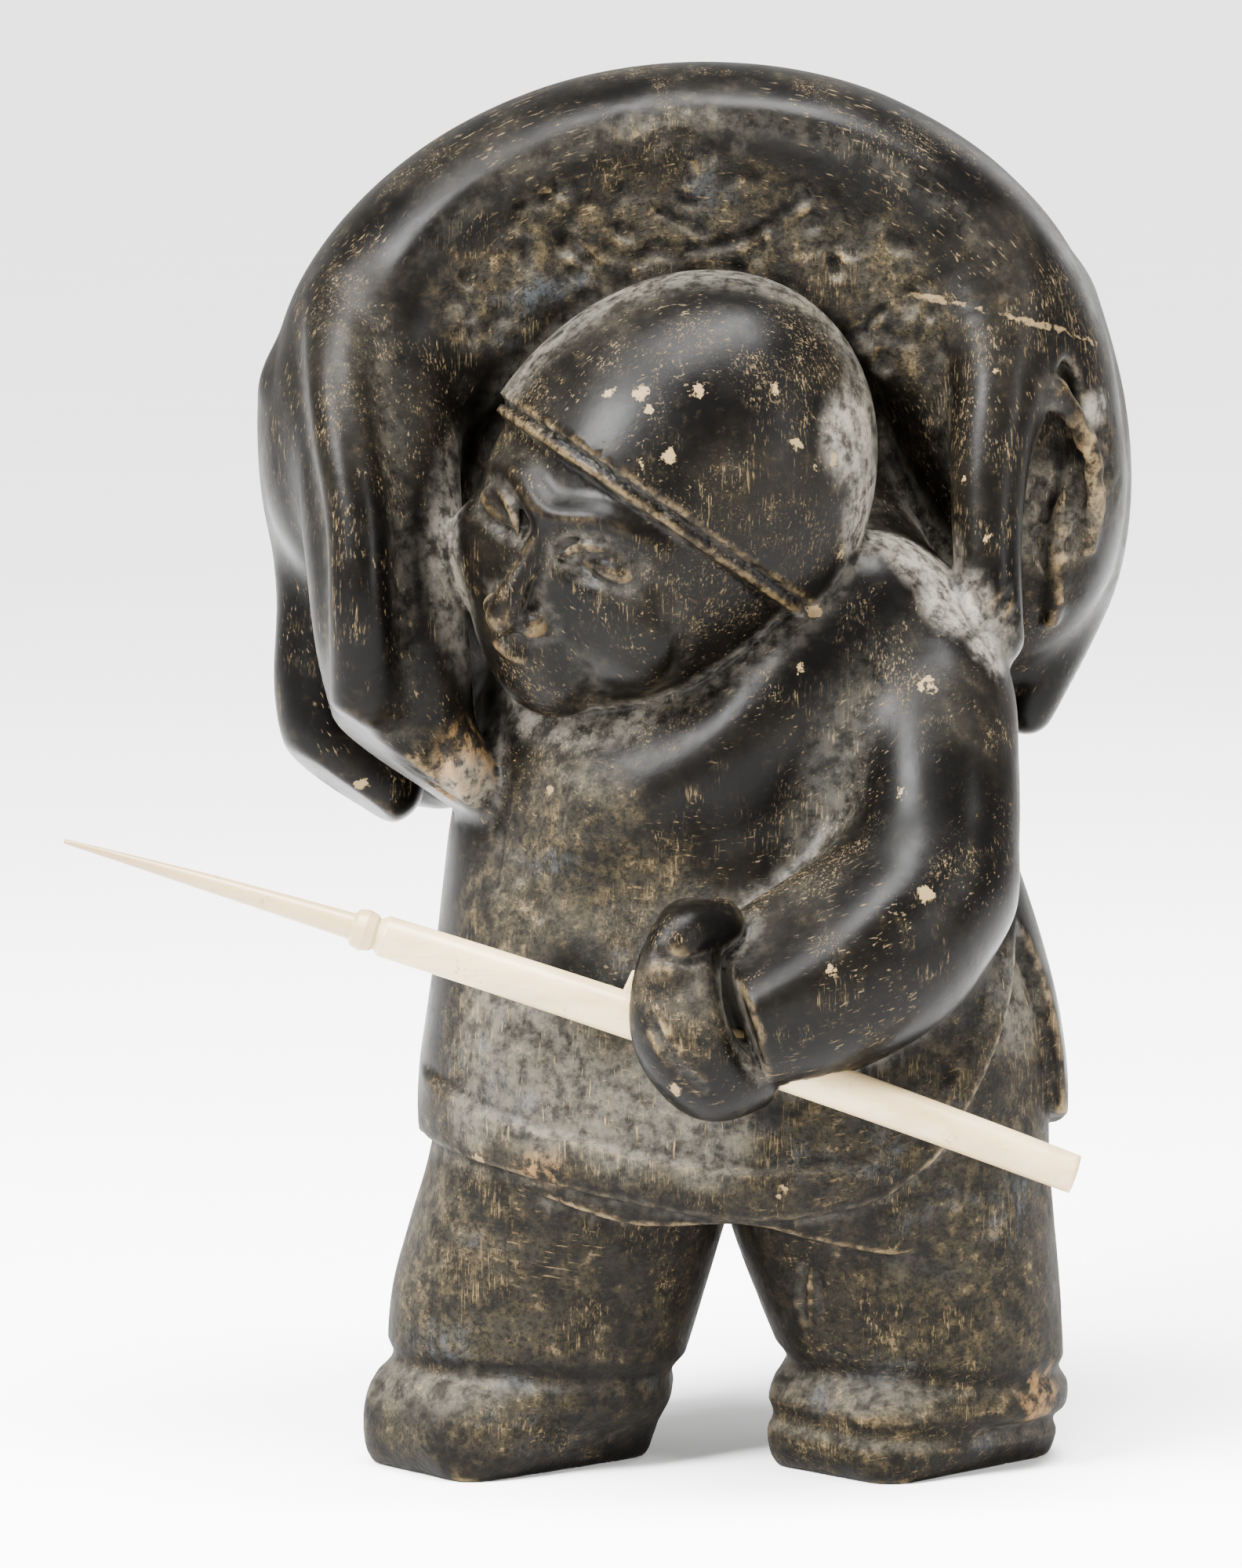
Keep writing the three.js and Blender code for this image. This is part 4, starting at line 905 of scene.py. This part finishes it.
# Hollows, edges and height of every corner, for the material
carved = np.empty(len(carving.data.vertices) * 3, np.float32)
carving.data.vertices.foreach_get("co", carved)
carved = (carved.reshape(-1, 3) * 1000 - SHIFT) / UNIT
facing = np.empty(len(carving.data.vertices) * 3, np.float32)
carving.data.vertices.foreach_get("normal", facing)
facing = facing.reshape(-1, 3)
hollows = 1 - stone(carved + facing * 1.0) / 1.0
store(carving.data, "hollow", np.clip(hollows * 1.4 - 0.15, 0, 1))
store(carving.data, "upward", facing[:, 2])

# How sharply the surface bends at every corner: above zero in creases, below zero on edges
ends = np.empty(len(carving.data.edges) * 2, np.int32)
carving.data.edges.foreach_get("vertices", ends)
ends = ends.reshape(-1, 2)
links = np.concatenate([ends, ends[:, ::-1]])
step = carved[links[:, 1]] - carved[links[:, 0]]
rise = (step * facing[links[:, 0]]).sum(axis=1) / (np.linalg.norm(step, axis=1) + 1e-9)
links_each = np.bincount(links[:, 0], minlength=len(carved))
bend = np.bincount(links[:, 0], rise, minlength=len(carved)) / links_each
for _ in range(2):
    around = np.bincount(links[:, 0], bend[links[:, 1]], minlength=len(carved)) / links_each
    bend = bend * 0.5 + around * 0.5
# Creases get painted shade in the material
store(carving.data, "crease", np.clip(bend * 7 - 0.12, 0, 1))
# Edges get a tan tone in the material, partly wear and partly painted highlight
store(carving.data, "edge", np.clip(-bend * 7 - 0.3, 0, 1))
# Wide hollows, which the material darkens as painted shade
wide_hollows = 1 - stone(carved + facing * 3) / 3
store(carving.data, "painted_shade_hollows", np.clip(wide_hollows * 1.2 - 0.1, 0, 1))
store(carving.data, "filed", in_places(carved, FILED_PLACES))
store(carving.data, "rough", in_places(carved, ROUGH_PLACES))


# Share of the surface beside the seam between two forms
def seam(one, other, width):
    return 1 - ease(np.maximum(np.abs(one), np.abs(other)), width * 0.3, width)


bulk = np.minimum(join(trunk(carved), back_fill(carved), 3.3), prey(carved))
shoulder = np.minimum(collar(carved), upper_arm(carved))
head_now, sleeve_now = hood(carved), fore_arm(carved)
seams = np.maximum(0.4 * seam(head_now, bulk, 2.4), 0.15 * seam(head_now, shoulder, 1.6))
seams = np.maximum(seams, 0.4 * seam(shoulder, prey(carved), 2.2))
seams = np.maximum(seams, 0.4 * seam(sleeve_now, trunk(carved), 1.6))
hood_back = carved[:, 1] - HEAD_CENTRE[1]
rim = (np.abs(head_now) < 0.35) * ease(hood_back, -6, -2.5) * (1 - ease(hood_back, 2, 6))
seams = np.maximum(seams, 0.4 * rim * ease(carved[:, 2], 58, 64))
store(carving.data, "dusty", np.maximum(in_places(carved, DUSTY_PLACES), seams))
store(carving.data, "ochre", in_places(carved, OCHRE_PLACES))
store(carving.data, "matte", np.maximum(in_places(carved, MATTE_PLACES), ease(carved[:, 2], 30, 24)))
fleck = np.full(len(carved), 2.0)
for x, y, z, r in FLECKS:
    np.minimum(fleck, np.linalg.norm(carved - [x, y, z], axis=1) / r, out=fleck)
store(carving.data, "fleck", fleck)
store(carving.data, "vein", np.clip(limb(VEIN, 4)(carved), 0, 2))

# Position round the animal's arch: along it, outwards and in depth, in metres
from_arch = carved - CARRY_CENTRE
bow = np.stack([
    np.arctan2(from_arch[:, 2], from_arch[:, 0]) * 0.22,
    np.hypot(from_arch[:, 0], from_arch[:, 2]) * UNIT / 1000,
    from_arch[:, 1] * UNIT / 1000,
], axis=1)
layer = carving.data.attributes.new("bow", "FLOAT_VECTOR", "POINT")
layer.data.foreach_set("vector", bow.astype(np.float32).ravel())

# Harpoon: round sections along the path
SHAFT_SIDES = 64
profile = np.array(PROFILE, float)
stations = np.unique(np.concatenate([np.linspace(0, HARPOON_LENGTH, 180), profile[:, 0],
                                     np.linspace(BLADE_LENGTH - 1, collar_end + 3, 40)]))
turns = np.linspace(0, 2 * math.pi, SHAFT_SIDES, endpoint=False)
rings = []
for s in stations:
    radius = np.interp(s, profile[:, 0], profile[:, 1]) / 2
    ring = np.outer(np.cos(turns), inward) + np.outer(np.sin(turns), above)
    rings.append(place_at(s) + radius * ring)
rod_points = np.concatenate(rings + [[place_at(0)], [place_at(HARPOON_LENGTH)]])
rod_faces = []
for k in range(len(stations) - 1):
    for i in range(SHAFT_SIDES):
        j = (i + 1) % SHAFT_SIDES
        a, b = k * SHAFT_SIDES, (k + 1) * SHAFT_SIDES
        rod_faces.append([a + i, a + j, b + j, b + i])
last = (len(stations) - 1) * SHAFT_SIDES
for i in range(SHAFT_SIDES):
    j = (i + 1) % SHAFT_SIDES
    rod_faces.append([j, i, len(rod_points) - 2])
    rod_faces.append([last + i, last + j, len(rod_points) - 1])


def mixed_object(name, points_mm, faces):
    mesh = bpy.data.meshes.new(name)
    mesh.from_pydata(to_frame(points_mm).tolist(), [], faces)
    mesh.update()
    piece = bpy.data.objects.new(name, mesh)
    bpy.context.scene.collection.objects.link(piece)
    return piece


shaft = mixed_object("harpoon_shaft", rod_points, rod_faces)
smooth(shaft.data)

# Finger rest on the shaft
foot_of_peg = place_at(PEG_PLACE) + above * SHAFT_DIAMETER * 0.3
peg_points = []
for height, share in ((0, 1), (SHAFT_DIAMETER * 0.2 + PEG_RISE, 0.75)):
    for u, v in ((-1, -1), (1, -1), (1, 1), (-1, 1)):
        p = foot_of_peg + above * height + thrust * u * PEG_LENGTH / 2 * share
        peg_points.append(p + inward * v * PEG_WIDTH / 2 * share)
peg_faces = [[0, 3, 2, 1], [4, 5, 6, 7]] + [[i, (i + 1) % 4, (i + 1) % 4 + 4, i + 4] for i in range(4)]
peg = mixed_object("harpoon_peg", peg_points, peg_faces)
bevel = peg.modifiers.new("worn", "BEVEL")
bevel.width = 0.0006
bevel.segments = 3
apply_modifiers(peg)


# Node helpers
def material(name):
    made = bpy.data.materials.new(name)
    made.use_nodes = True
    made.node_tree.nodes.clear()
    return made, made.node_tree


def node(tree, kind, inputs=None, **settings):
    made = tree.nodes.new(kind)
    for key, value in settings.items():
        setattr(made, key, value)
    for key, value in (inputs or {}).items():
        if isinstance(value, bpy.types.NodeSocket):
            tree.links.new(value, made.inputs[key])
        else:
            made.inputs[key].default_value = value
    return made


def coordinates(tree, scale=(1, 1, 1), turn=(0, 0, 0)):
    place = node(tree, "ShaderNodeTexCoord").outputs["Object"]
    inputs = {"Vector": place, "Scale": scale, "Rotation": turn}
    return node(tree, "ShaderNodeMapping", inputs).outputs[0]


def noise_of(tree, vector, scale, detail=4, roughness=0.6, distortion=0):
    return node(tree, "ShaderNodeTexNoise", {
        "Vector": vector, "Scale": scale, "Detail": detail, "Roughness": roughness,
        "Distortion": distortion}).outputs["Fac"]


def spread(tree, value, low, high, to_low=0, to_high=1):
    return node(tree, "ShaderNodeMapRange", {
        "Value": value, "From Min": low, "From Max": high, "To Min": to_low, "To Max": to_high},
        interpolation_type="SMOOTHSTEP").outputs[0]


def calc(tree, operation, a, b, clamp=False):
    return node(tree, "ShaderNodeMath", {0: a, 1: b}, operation=operation, use_clamp=clamp).outputs[0]


def blend(tree, share, a, b, mode="MIX"):
    made = node(tree, "ShaderNodeMix", data_type="RGBA", blend_type=mode)
    for key, value in ((0, share), (6, a), (7, b)):
        if isinstance(value, bpy.types.NodeSocket):
            tree.links.new(value, made.inputs[key])
        else:
            made.inputs[key].default_value = value
    return made.outputs[2]


def attribute(tree, name):
    return node(tree, "ShaderNodeAttribute", attribute_name=name).outputs["Fac"]


def bump(tree, height, strength, distance, normal=None):
    inputs = {"Height": height, "Strength": strength, "Distance": distance}
    if normal is not None:
        inputs["Normal"] = normal
    return node(tree, "ShaderNodeBump", inputs).outputs[0]


def finish_with(tree, **inputs):
    keys = {
        "color": "Base Color",
        "roughness": "Roughness",
        "normal": "Normal",
        "level": "Specular IOR Level",
        "subsurface": "Subsurface Weight",
        "radius": "Subsurface Radius",
        "depth": "Subsurface Scale",
    }
    shader = node(tree, "ShaderNodeBsdfPrincipled", {keys[k]: v for k, v in inputs.items()})
    tree.links.new(shader.outputs[0], node(tree, "ShaderNodeOutputMaterial").inputs[0])


BLACK = (0.0008, 0.0007, 0.0006, 1)
CHARCOAL = (0.0028, 0.0024, 0.0018, 1)
SLATE = (0.014, 0.0118, 0.0083, 1)
OLIVE = (0.034, 0.0255, 0.0125, 1)
TAN = (0.18, 0.125, 0.06, 1)
DUST = (0.16, 0.148, 0.122, 1)
BLUE_GREY = (0.034, 0.038, 0.041, 1)
OCHRE = (0.16, 0.09, 0.032, 1)


# Scratches across the polish: rows of the turn of their lines and the share left clear of them
SCRATCHES = [
    ((0.2, 1.1, 0.1), 0.50),
    ((0.4, -0.8, 0.5), 0.50),
    ((0.7, 0.35, 0.9), 0.52),
    ((0.1, -1.4, 0.2), 0.50),
]


# Fine lines that run one way, gathered in groups
def hairlines(tree, vector, across, group_scale, share):
    lines = noise_of(tree, vector, across, 2, 0.6)
    groups = noise_of(tree, coordinates(tree), group_scale, 3, 0.6)
    gathered = spread(tree, groups, share, share + 0.12)
    return calc(tree, "MULTIPLY", spread(tree, lines, 0.62, 0.69), gathered)


def times(tree, a, b):
    return calc(tree, "MULTIPLY", a, b)


def most(tree, a, b):
    return calc(tree, "MAXIMUM", a, b)


# Soapstone: polished black with tan flecks and scratches, matte grey and olive where it was only
# dressed, pale dust in the hollows;
# painted shade darkens creases, wide hollows and down-facing sides, and painted top light mixed with
# dust and wear lightens upward sides and ridges
def soapstone():
    made, tree = material("soapstone")
    plain = coordinates(tree)
    names = ("hollow", "edge", "rough", "dusty", "ochre", "matte", "fleck", "vein")
    hollow, edge, rough, dusty, ochre, matte, fleck, vein = (attribute(tree, name) for name in names)
    crease, painted_shade_hollows, filed = (attribute(tree, name) for name in ("crease", "painted_shade_hollows", "filed"))
    upward = attribute(tree, "upward")
    bow = node(tree, "ShaderNodeAttribute", attribute_name="bow").outputs["Vector"]
    bowed = node(tree, "ShaderNodeMapping", {"Vector": bow, "Scale": (0.07, 1, 1)}).outputs[0]
    clouds = noise_of(tree, plain, 26, 5, 0.62)
    mottle = noise_of(tree, plain, 75, 8, 0.72, 0.5)
    specks = noise_of(tree, plain, 260, 6, 0.72)
    grain = noise_of(tree, plain, 900, 4, 0.75)
    uneven_polish = spread(tree, clouds, 0.45, 0.8, 0, 0.18)
    dressed = calc(tree, "ADD", most(tree, rough, times(tree, matte, 0.85)), uneven_polish, True)
    dressed = times(tree, dressed, spread(tree, mottle, 0.28, 0.5, 0.55, 1))

    polished = blend(tree, spread(tree, clouds, 0.40, 0.66), BLACK, CHARCOAL)
    polished = blend(tree, spread(tree, specks, 0.54, 0.74, 0, 0.16), polished, OLIVE)
    dull = blend(tree, spread(tree, mottle, 0.36, 0.64), CHARCOAL, SLATE)
    olive = times(tree, spread(tree, specks, 0.44, 0.62), spread(tree, clouds, 0.3, 0.6, 0.25, 0.7))
    dull = blend(tree, olive, dull, OLIVE)
    tan = times(tree, spread(tree, specks, 0.56, 0.66), spread(tree, mottle, 0.48, 0.64, 0.03, 0.5))
    dull = blend(tree, tan, dull, TAN)
    brushed = noise_of(tree, coordinates(tree, (1, 1, 0.3), (0.3, 0.5, 0)), 240, 6, 0.75, 0.3)
    cool = noise_of(tree, coordinates(tree, (1, 1, 2), (0.5, 0.1, 0.8)), 32, 4, 0.6)
    blue = times(tree, spread(tree, cool, 0.54, 0.72), spread(tree, brushed, 0.42, 0.6, 0.05, 0.7))
    dull = blend(tree, blue, dull, BLUE_GREY)
    dull = blend(tree, spread(tree, grain, 0.46, 0.62, 0, 0.7), dull, BLACK)
    # Painted shade: down-facing sides of the dull stone darkened towards black
    dull = blend(tree, spread(tree, upward, 0.05, -0.4, 0, 0.7), dull, BLACK)
    # Upward-facing sides lightened with the dust colour: partly dust lying on top, partly painted top
    # light
    top_light_and_dust = times(tree, spread(tree, upward, 0.0, 0.8), spread(tree, specks, 0.35, 0.6, 0.04, 0.24))
    dull = blend(tree, top_light_and_dust, dull, DUST)
    color = blend(tree, dressed, polished, dull)

    # Ridges and convex edges lightened towards tan: partly worn edges, partly painted highlight
    ridge_wear_and_highlight = times(tree, spread(tree, edge, 0.1, 0.8), spread(tree, specks, 0.40, 0.60, 0.05, 0.75))
    color = blend(tree, times(tree, ridge_wear_and_highlight, most(tree, dressed, 0.35)), color, TAN)
    # Painted shade: wide hollows darkened towards black
    color = blend(tree, times(tree, painted_shade_hollows, 0.4), color, BLACK)
    color = blend(tree, times(tree, filed, spread(tree, specks, 0.35, 0.6, 0.02, 0.2)), color, DUST)
    marks = hairlines(tree, coordinates(tree, (1, 1, 0.10), (0.35, 0.55, 0.2)), 1200, 26, 0.38)
    color = blend(tree, times(tree, filed, times(tree, marks, 0.6)), color, TAN)
    dust_wanted = calc(tree, "ADD", times(tree, hollow, 0.38), times(tree, dusty, 0.8), True)
    dust_share = times(tree, spread(tree, specks, 0.36, 0.62, 0.1, 0.8), dust_wanted)
    color = blend(tree, dust_share, color, DUST)
    # Painted shade: creases darkened towards black
    color = blend(tree, times(tree, crease, spread(tree, brushed, 0.35, 0.6, 0.95, 0.5)), color, BLACK)
    color = blend(tree, times(tree, ochre, spread(tree, specks, 0.44, 0.62, 0, 0.55)), color, OCHRE)

    scratches = hairlines(tree, bowed, 1500, 40, 0.44)
    for turn, share in SCRATCHES:
        lines = hairlines(tree, coordinates(tree, (1, 1, 0.06), turn), 1900, 40 + 40 * share, share)
        scratches = most(tree, scratches, lines)
    color = blend(tree, times(tree, scratches, spread(tree, specks, 0.38, 0.62, 0.04, 0.34)), color, TAN)

    wobble = calc(tree, "ADD", fleck, spread(tree, grain, 0.3, 0.7, -0.35, 0.35))
    wobble = calc(tree, "ADD", wobble, spread(tree, specks, 0.3, 0.7, -0.6, 0.6))
    color = blend(tree, spread(tree, wobble, 1.0, 0.75, 0, 0.6), color, TAN)
    thread = calc(tree, "ADD", vein, spread(tree, specks, 0.3, 0.7, -0.12, 0.12))
    color = blend(tree, spread(tree, thread, 0.10, 0.0, 0, 0.4), color, TAN)

    shine = spread(tree, noise_of(tree, plain, 60, 5, 0.65), 0.35, 0.7, 0.28, 0.42)
    marked = times(tree, most(tree, dust_share, scratches), 0.25)
    dulling = calc(tree, "ADD", times(tree, dressed, 0.35), marked)
    roughness = calc(tree, "ADD", shine, dulling, True)
    fine = bump(tree, grain, calc(tree, "ADD", 0.06, times(tree, dressed, 0.5)), 0.0004)
    fine = bump(tree, marks, times(tree, filed, 0.8), 0.0006, fine)
    uneven = bump(tree, specks, calc(tree, "ADD", 0.03, times(tree, dressed, 0.55)), 0.0010, fine)
    normal = bump(tree, scratches, 0.10, 0.0003, uneven)
    finish_with(tree, color=color, roughness=roughness, normal=normal, level=0.05)
    return made


IVORY_PALE = (0.38, 0.285, 0.15, 1)
IVORY_DEEP = (0.25, 0.175, 0.08, 1)
IVORY_YELLOW = (0.27, 0.19, 0.085, 1)
IVORY_YELLOW_DEEP = (0.26, 0.18, 0.08, 1)
IVORY_TIP = (0.15, 0.10, 0.04, 1)
IVORY_GRAIN = (0.22, 0.15, 0.07, 1)
IVORY_SPECK = (0.10, 0.075, 0.045, 1)


# Old ivory: cream, yellower towards the tip and the collar, with hairlines and dark specks
def ivory():
    made, tree = material("ivory")
    place = node(tree, "ShaderNodeTexCoord").outputs["Object"]
    across = node(tree, "ShaderNodeSeparateXYZ", {0: place}).outputs[0]
    tip_x, collar_x = to_frame(tip)[0], to_frame(place_at(BLADE_LENGTH + COLLAR_LENGTH / 2))[0]
    blade_share = spread(tree, across, float(collar_x) + 0.004, float(collar_x) - 0.002)
    tip_share = spread(tree, across, float(tip_x) + 0.05, float(tip_x))
    ring = calc(tree, "ABSOLUTE", calc(tree, "SUBTRACT", across, float(collar_x)), 0)
    grain = noise_of(tree, coordinates(tree, (0.05, 1, 1), (0, slope, 0)), 1100, 4, 0.6)
    cloud = noise_of(tree, coordinates(tree, (0.4, 1, 1), (0, slope, 0)), 70, 5, 0.6)
    color = blend(tree, spread(tree, cloud, 0.35, 0.7), IVORY_PALE, IVORY_DEEP)
    color = blend(tree, times(tree, blade_share, 0.75), color, IVORY_YELLOW)
    color = blend(tree, times(tree, tip_share, 0.7), color, IVORY_TIP)
    color = blend(tree, spread(tree, ring, 0.0045, 0.002, 0, 0.6), color, IVORY_YELLOW_DEEP)
    color = blend(tree, spread(tree, grain, 0.58, 0.70, 0, 0.4), color, IVORY_GRAIN)
    specks = noise_of(tree, place, 800, 3, 0.6)
    groups = noise_of(tree, place, 90, 3, 0.6)
    dark = times(tree, spread(tree, specks, 0.58, 0.66), spread(tree, groups, 0.52, 0.66))
    color = blend(tree, times(tree, dark, 0.75), color, IVORY_SPECK)
    normal = bump(tree, grain, 0.12, 0.0002)
    finish_with(tree, color=color, roughness=0.36, normal=normal, subsurface=0.10,
                radius=(1, 0.7, 0.4), depth=0.002)
    return made


carving.data.materials.append(soapstone())
ivory_material = ivory()
for piece in (shaft, peg):
    piece.data.materials.append(ivory_material)
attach(carving, "root")
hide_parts("hunter_figure")
for piece in (shaft, peg):
    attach(piece, "root")
    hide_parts("harpoon")


# Floor, background and soft studio light
FLOOR_HALF = 150
FLOOR_PALE = (0.92, 0.918, 0.915, 1)
FLOOR_WHITE = (0.94, 0.938, 0.935, 1)
floor_mesh = bpy.data.meshes.new("floor")
floor_corners = [(x * FLOOR_HALF, y * FLOOR_HALF, 0) for x, y in ((-1, -1), (1, -1), (1, 1), (-1, 1))]
floor_mesh.from_pydata(floor_corners, [], [(0, 1, 2, 3)])
floor = bpy.data.objects.new("floor", floor_mesh)
bpy.context.scene.collection.objects.link(floor)
floor_made, floor_tree = material("pale_floor")
paper = noise_of(floor_tree, coordinates(floor_tree), 6, 3, 0.5)
floor_color = blend(floor_tree, spread(floor_tree, paper, 0.3, 0.7), FLOOR_PALE, FLOOR_WHITE)
finish_with(floor_tree, color=floor_color, roughness=0.9)
floor_mesh.materials.append(floor_made)

WORLD_STRENGTH = 0.95
world = bpy.data.worlds.new("studio")
world.use_nodes = True
world.node_tree.nodes["Background"].inputs[0].default_value = (1, 0.995, 0.985, 1)
world.node_tree.nodes["Background"].inputs[1].default_value = WORLD_STRENGTH
bpy.context.scene.world = world

LOOK_AT = to_frame([-16.6, 0, 145.0])


def soft_light(name, direction, distance, size, watts):
    data = bpy.data.lights.new(name, "AREA")
    data.shape = "RECTANGLE"
    data.size, data.size_y = size
    data.energy = watts
    lamp = bpy.data.objects.new(name, data)
    lamp.location = Vector(LOOK_AT) + Vector(direction).normalized() * distance
    lamp.rotation_euler = (Vector(LOOK_AT) - lamp.location).to_track_quat("-Z", "Y").to_euler()
    bpy.context.scene.collection.objects.link(lamp)


soft_light("key", (-0.75, -0.75, 0.75), 1.5, (0.5, 0.5), 140)
soft_light("fill", (0.95, -0.65, 0.35), 1.6, (0.35, 0.8), 26)
soft_light("top", (0.1, -0.25, 1), 1.2, (0.8, 0.45), 105)
soft_light("rim", (0.6, 0.9, 0.5), 1.5, (0.5, 0.9), 9)
DAYLIGHT_SPREAD = 35
DAYLIGHT_STRENGTH = 9
DAYLIGHT_TURN = (20, -25, 0)
daylight_data = bpy.data.lights.new("daylight", "SUN")
daylight_data.angle = math.radians(DAYLIGHT_SPREAD)
daylight_data.energy = DAYLIGHT_STRENGTH
daylight = bpy.data.objects.new("daylight", daylight_data)
daylight.rotation_euler = [math.radians(turn) for turn in DAYLIGHT_TURN]
bpy.context.scene.collection.objects.link(daylight)

# Camera
CAMERA_ELEVATION = 6
CAMERA_DISTANCE = 1.7
VIEW_HEIGHT = 0.3388
camera_data = bpy.data.cameras.new("camera")
camera_data.sensor_fit = "VERTICAL"
camera_data.sensor_height = 24
camera_data.lens = 24 * CAMERA_DISTANCE / VIEW_HEIGHT
camera_data.clip_end = 400
camera = bpy.data.objects.new("camera", camera_data)
lift = math.radians(CAMERA_ELEVATION)
camera.location = Vector(LOOK_AT) + CAMERA_DISTANCE * Vector((0, -math.cos(lift), math.sin(lift)))
camera.rotation_euler = (Vector(LOOK_AT) - camera.location).to_track_quat("-Z", "Y").to_euler()
bpy.context.scene.collection.objects.link(camera)
bpy.context.scene.camera = camera
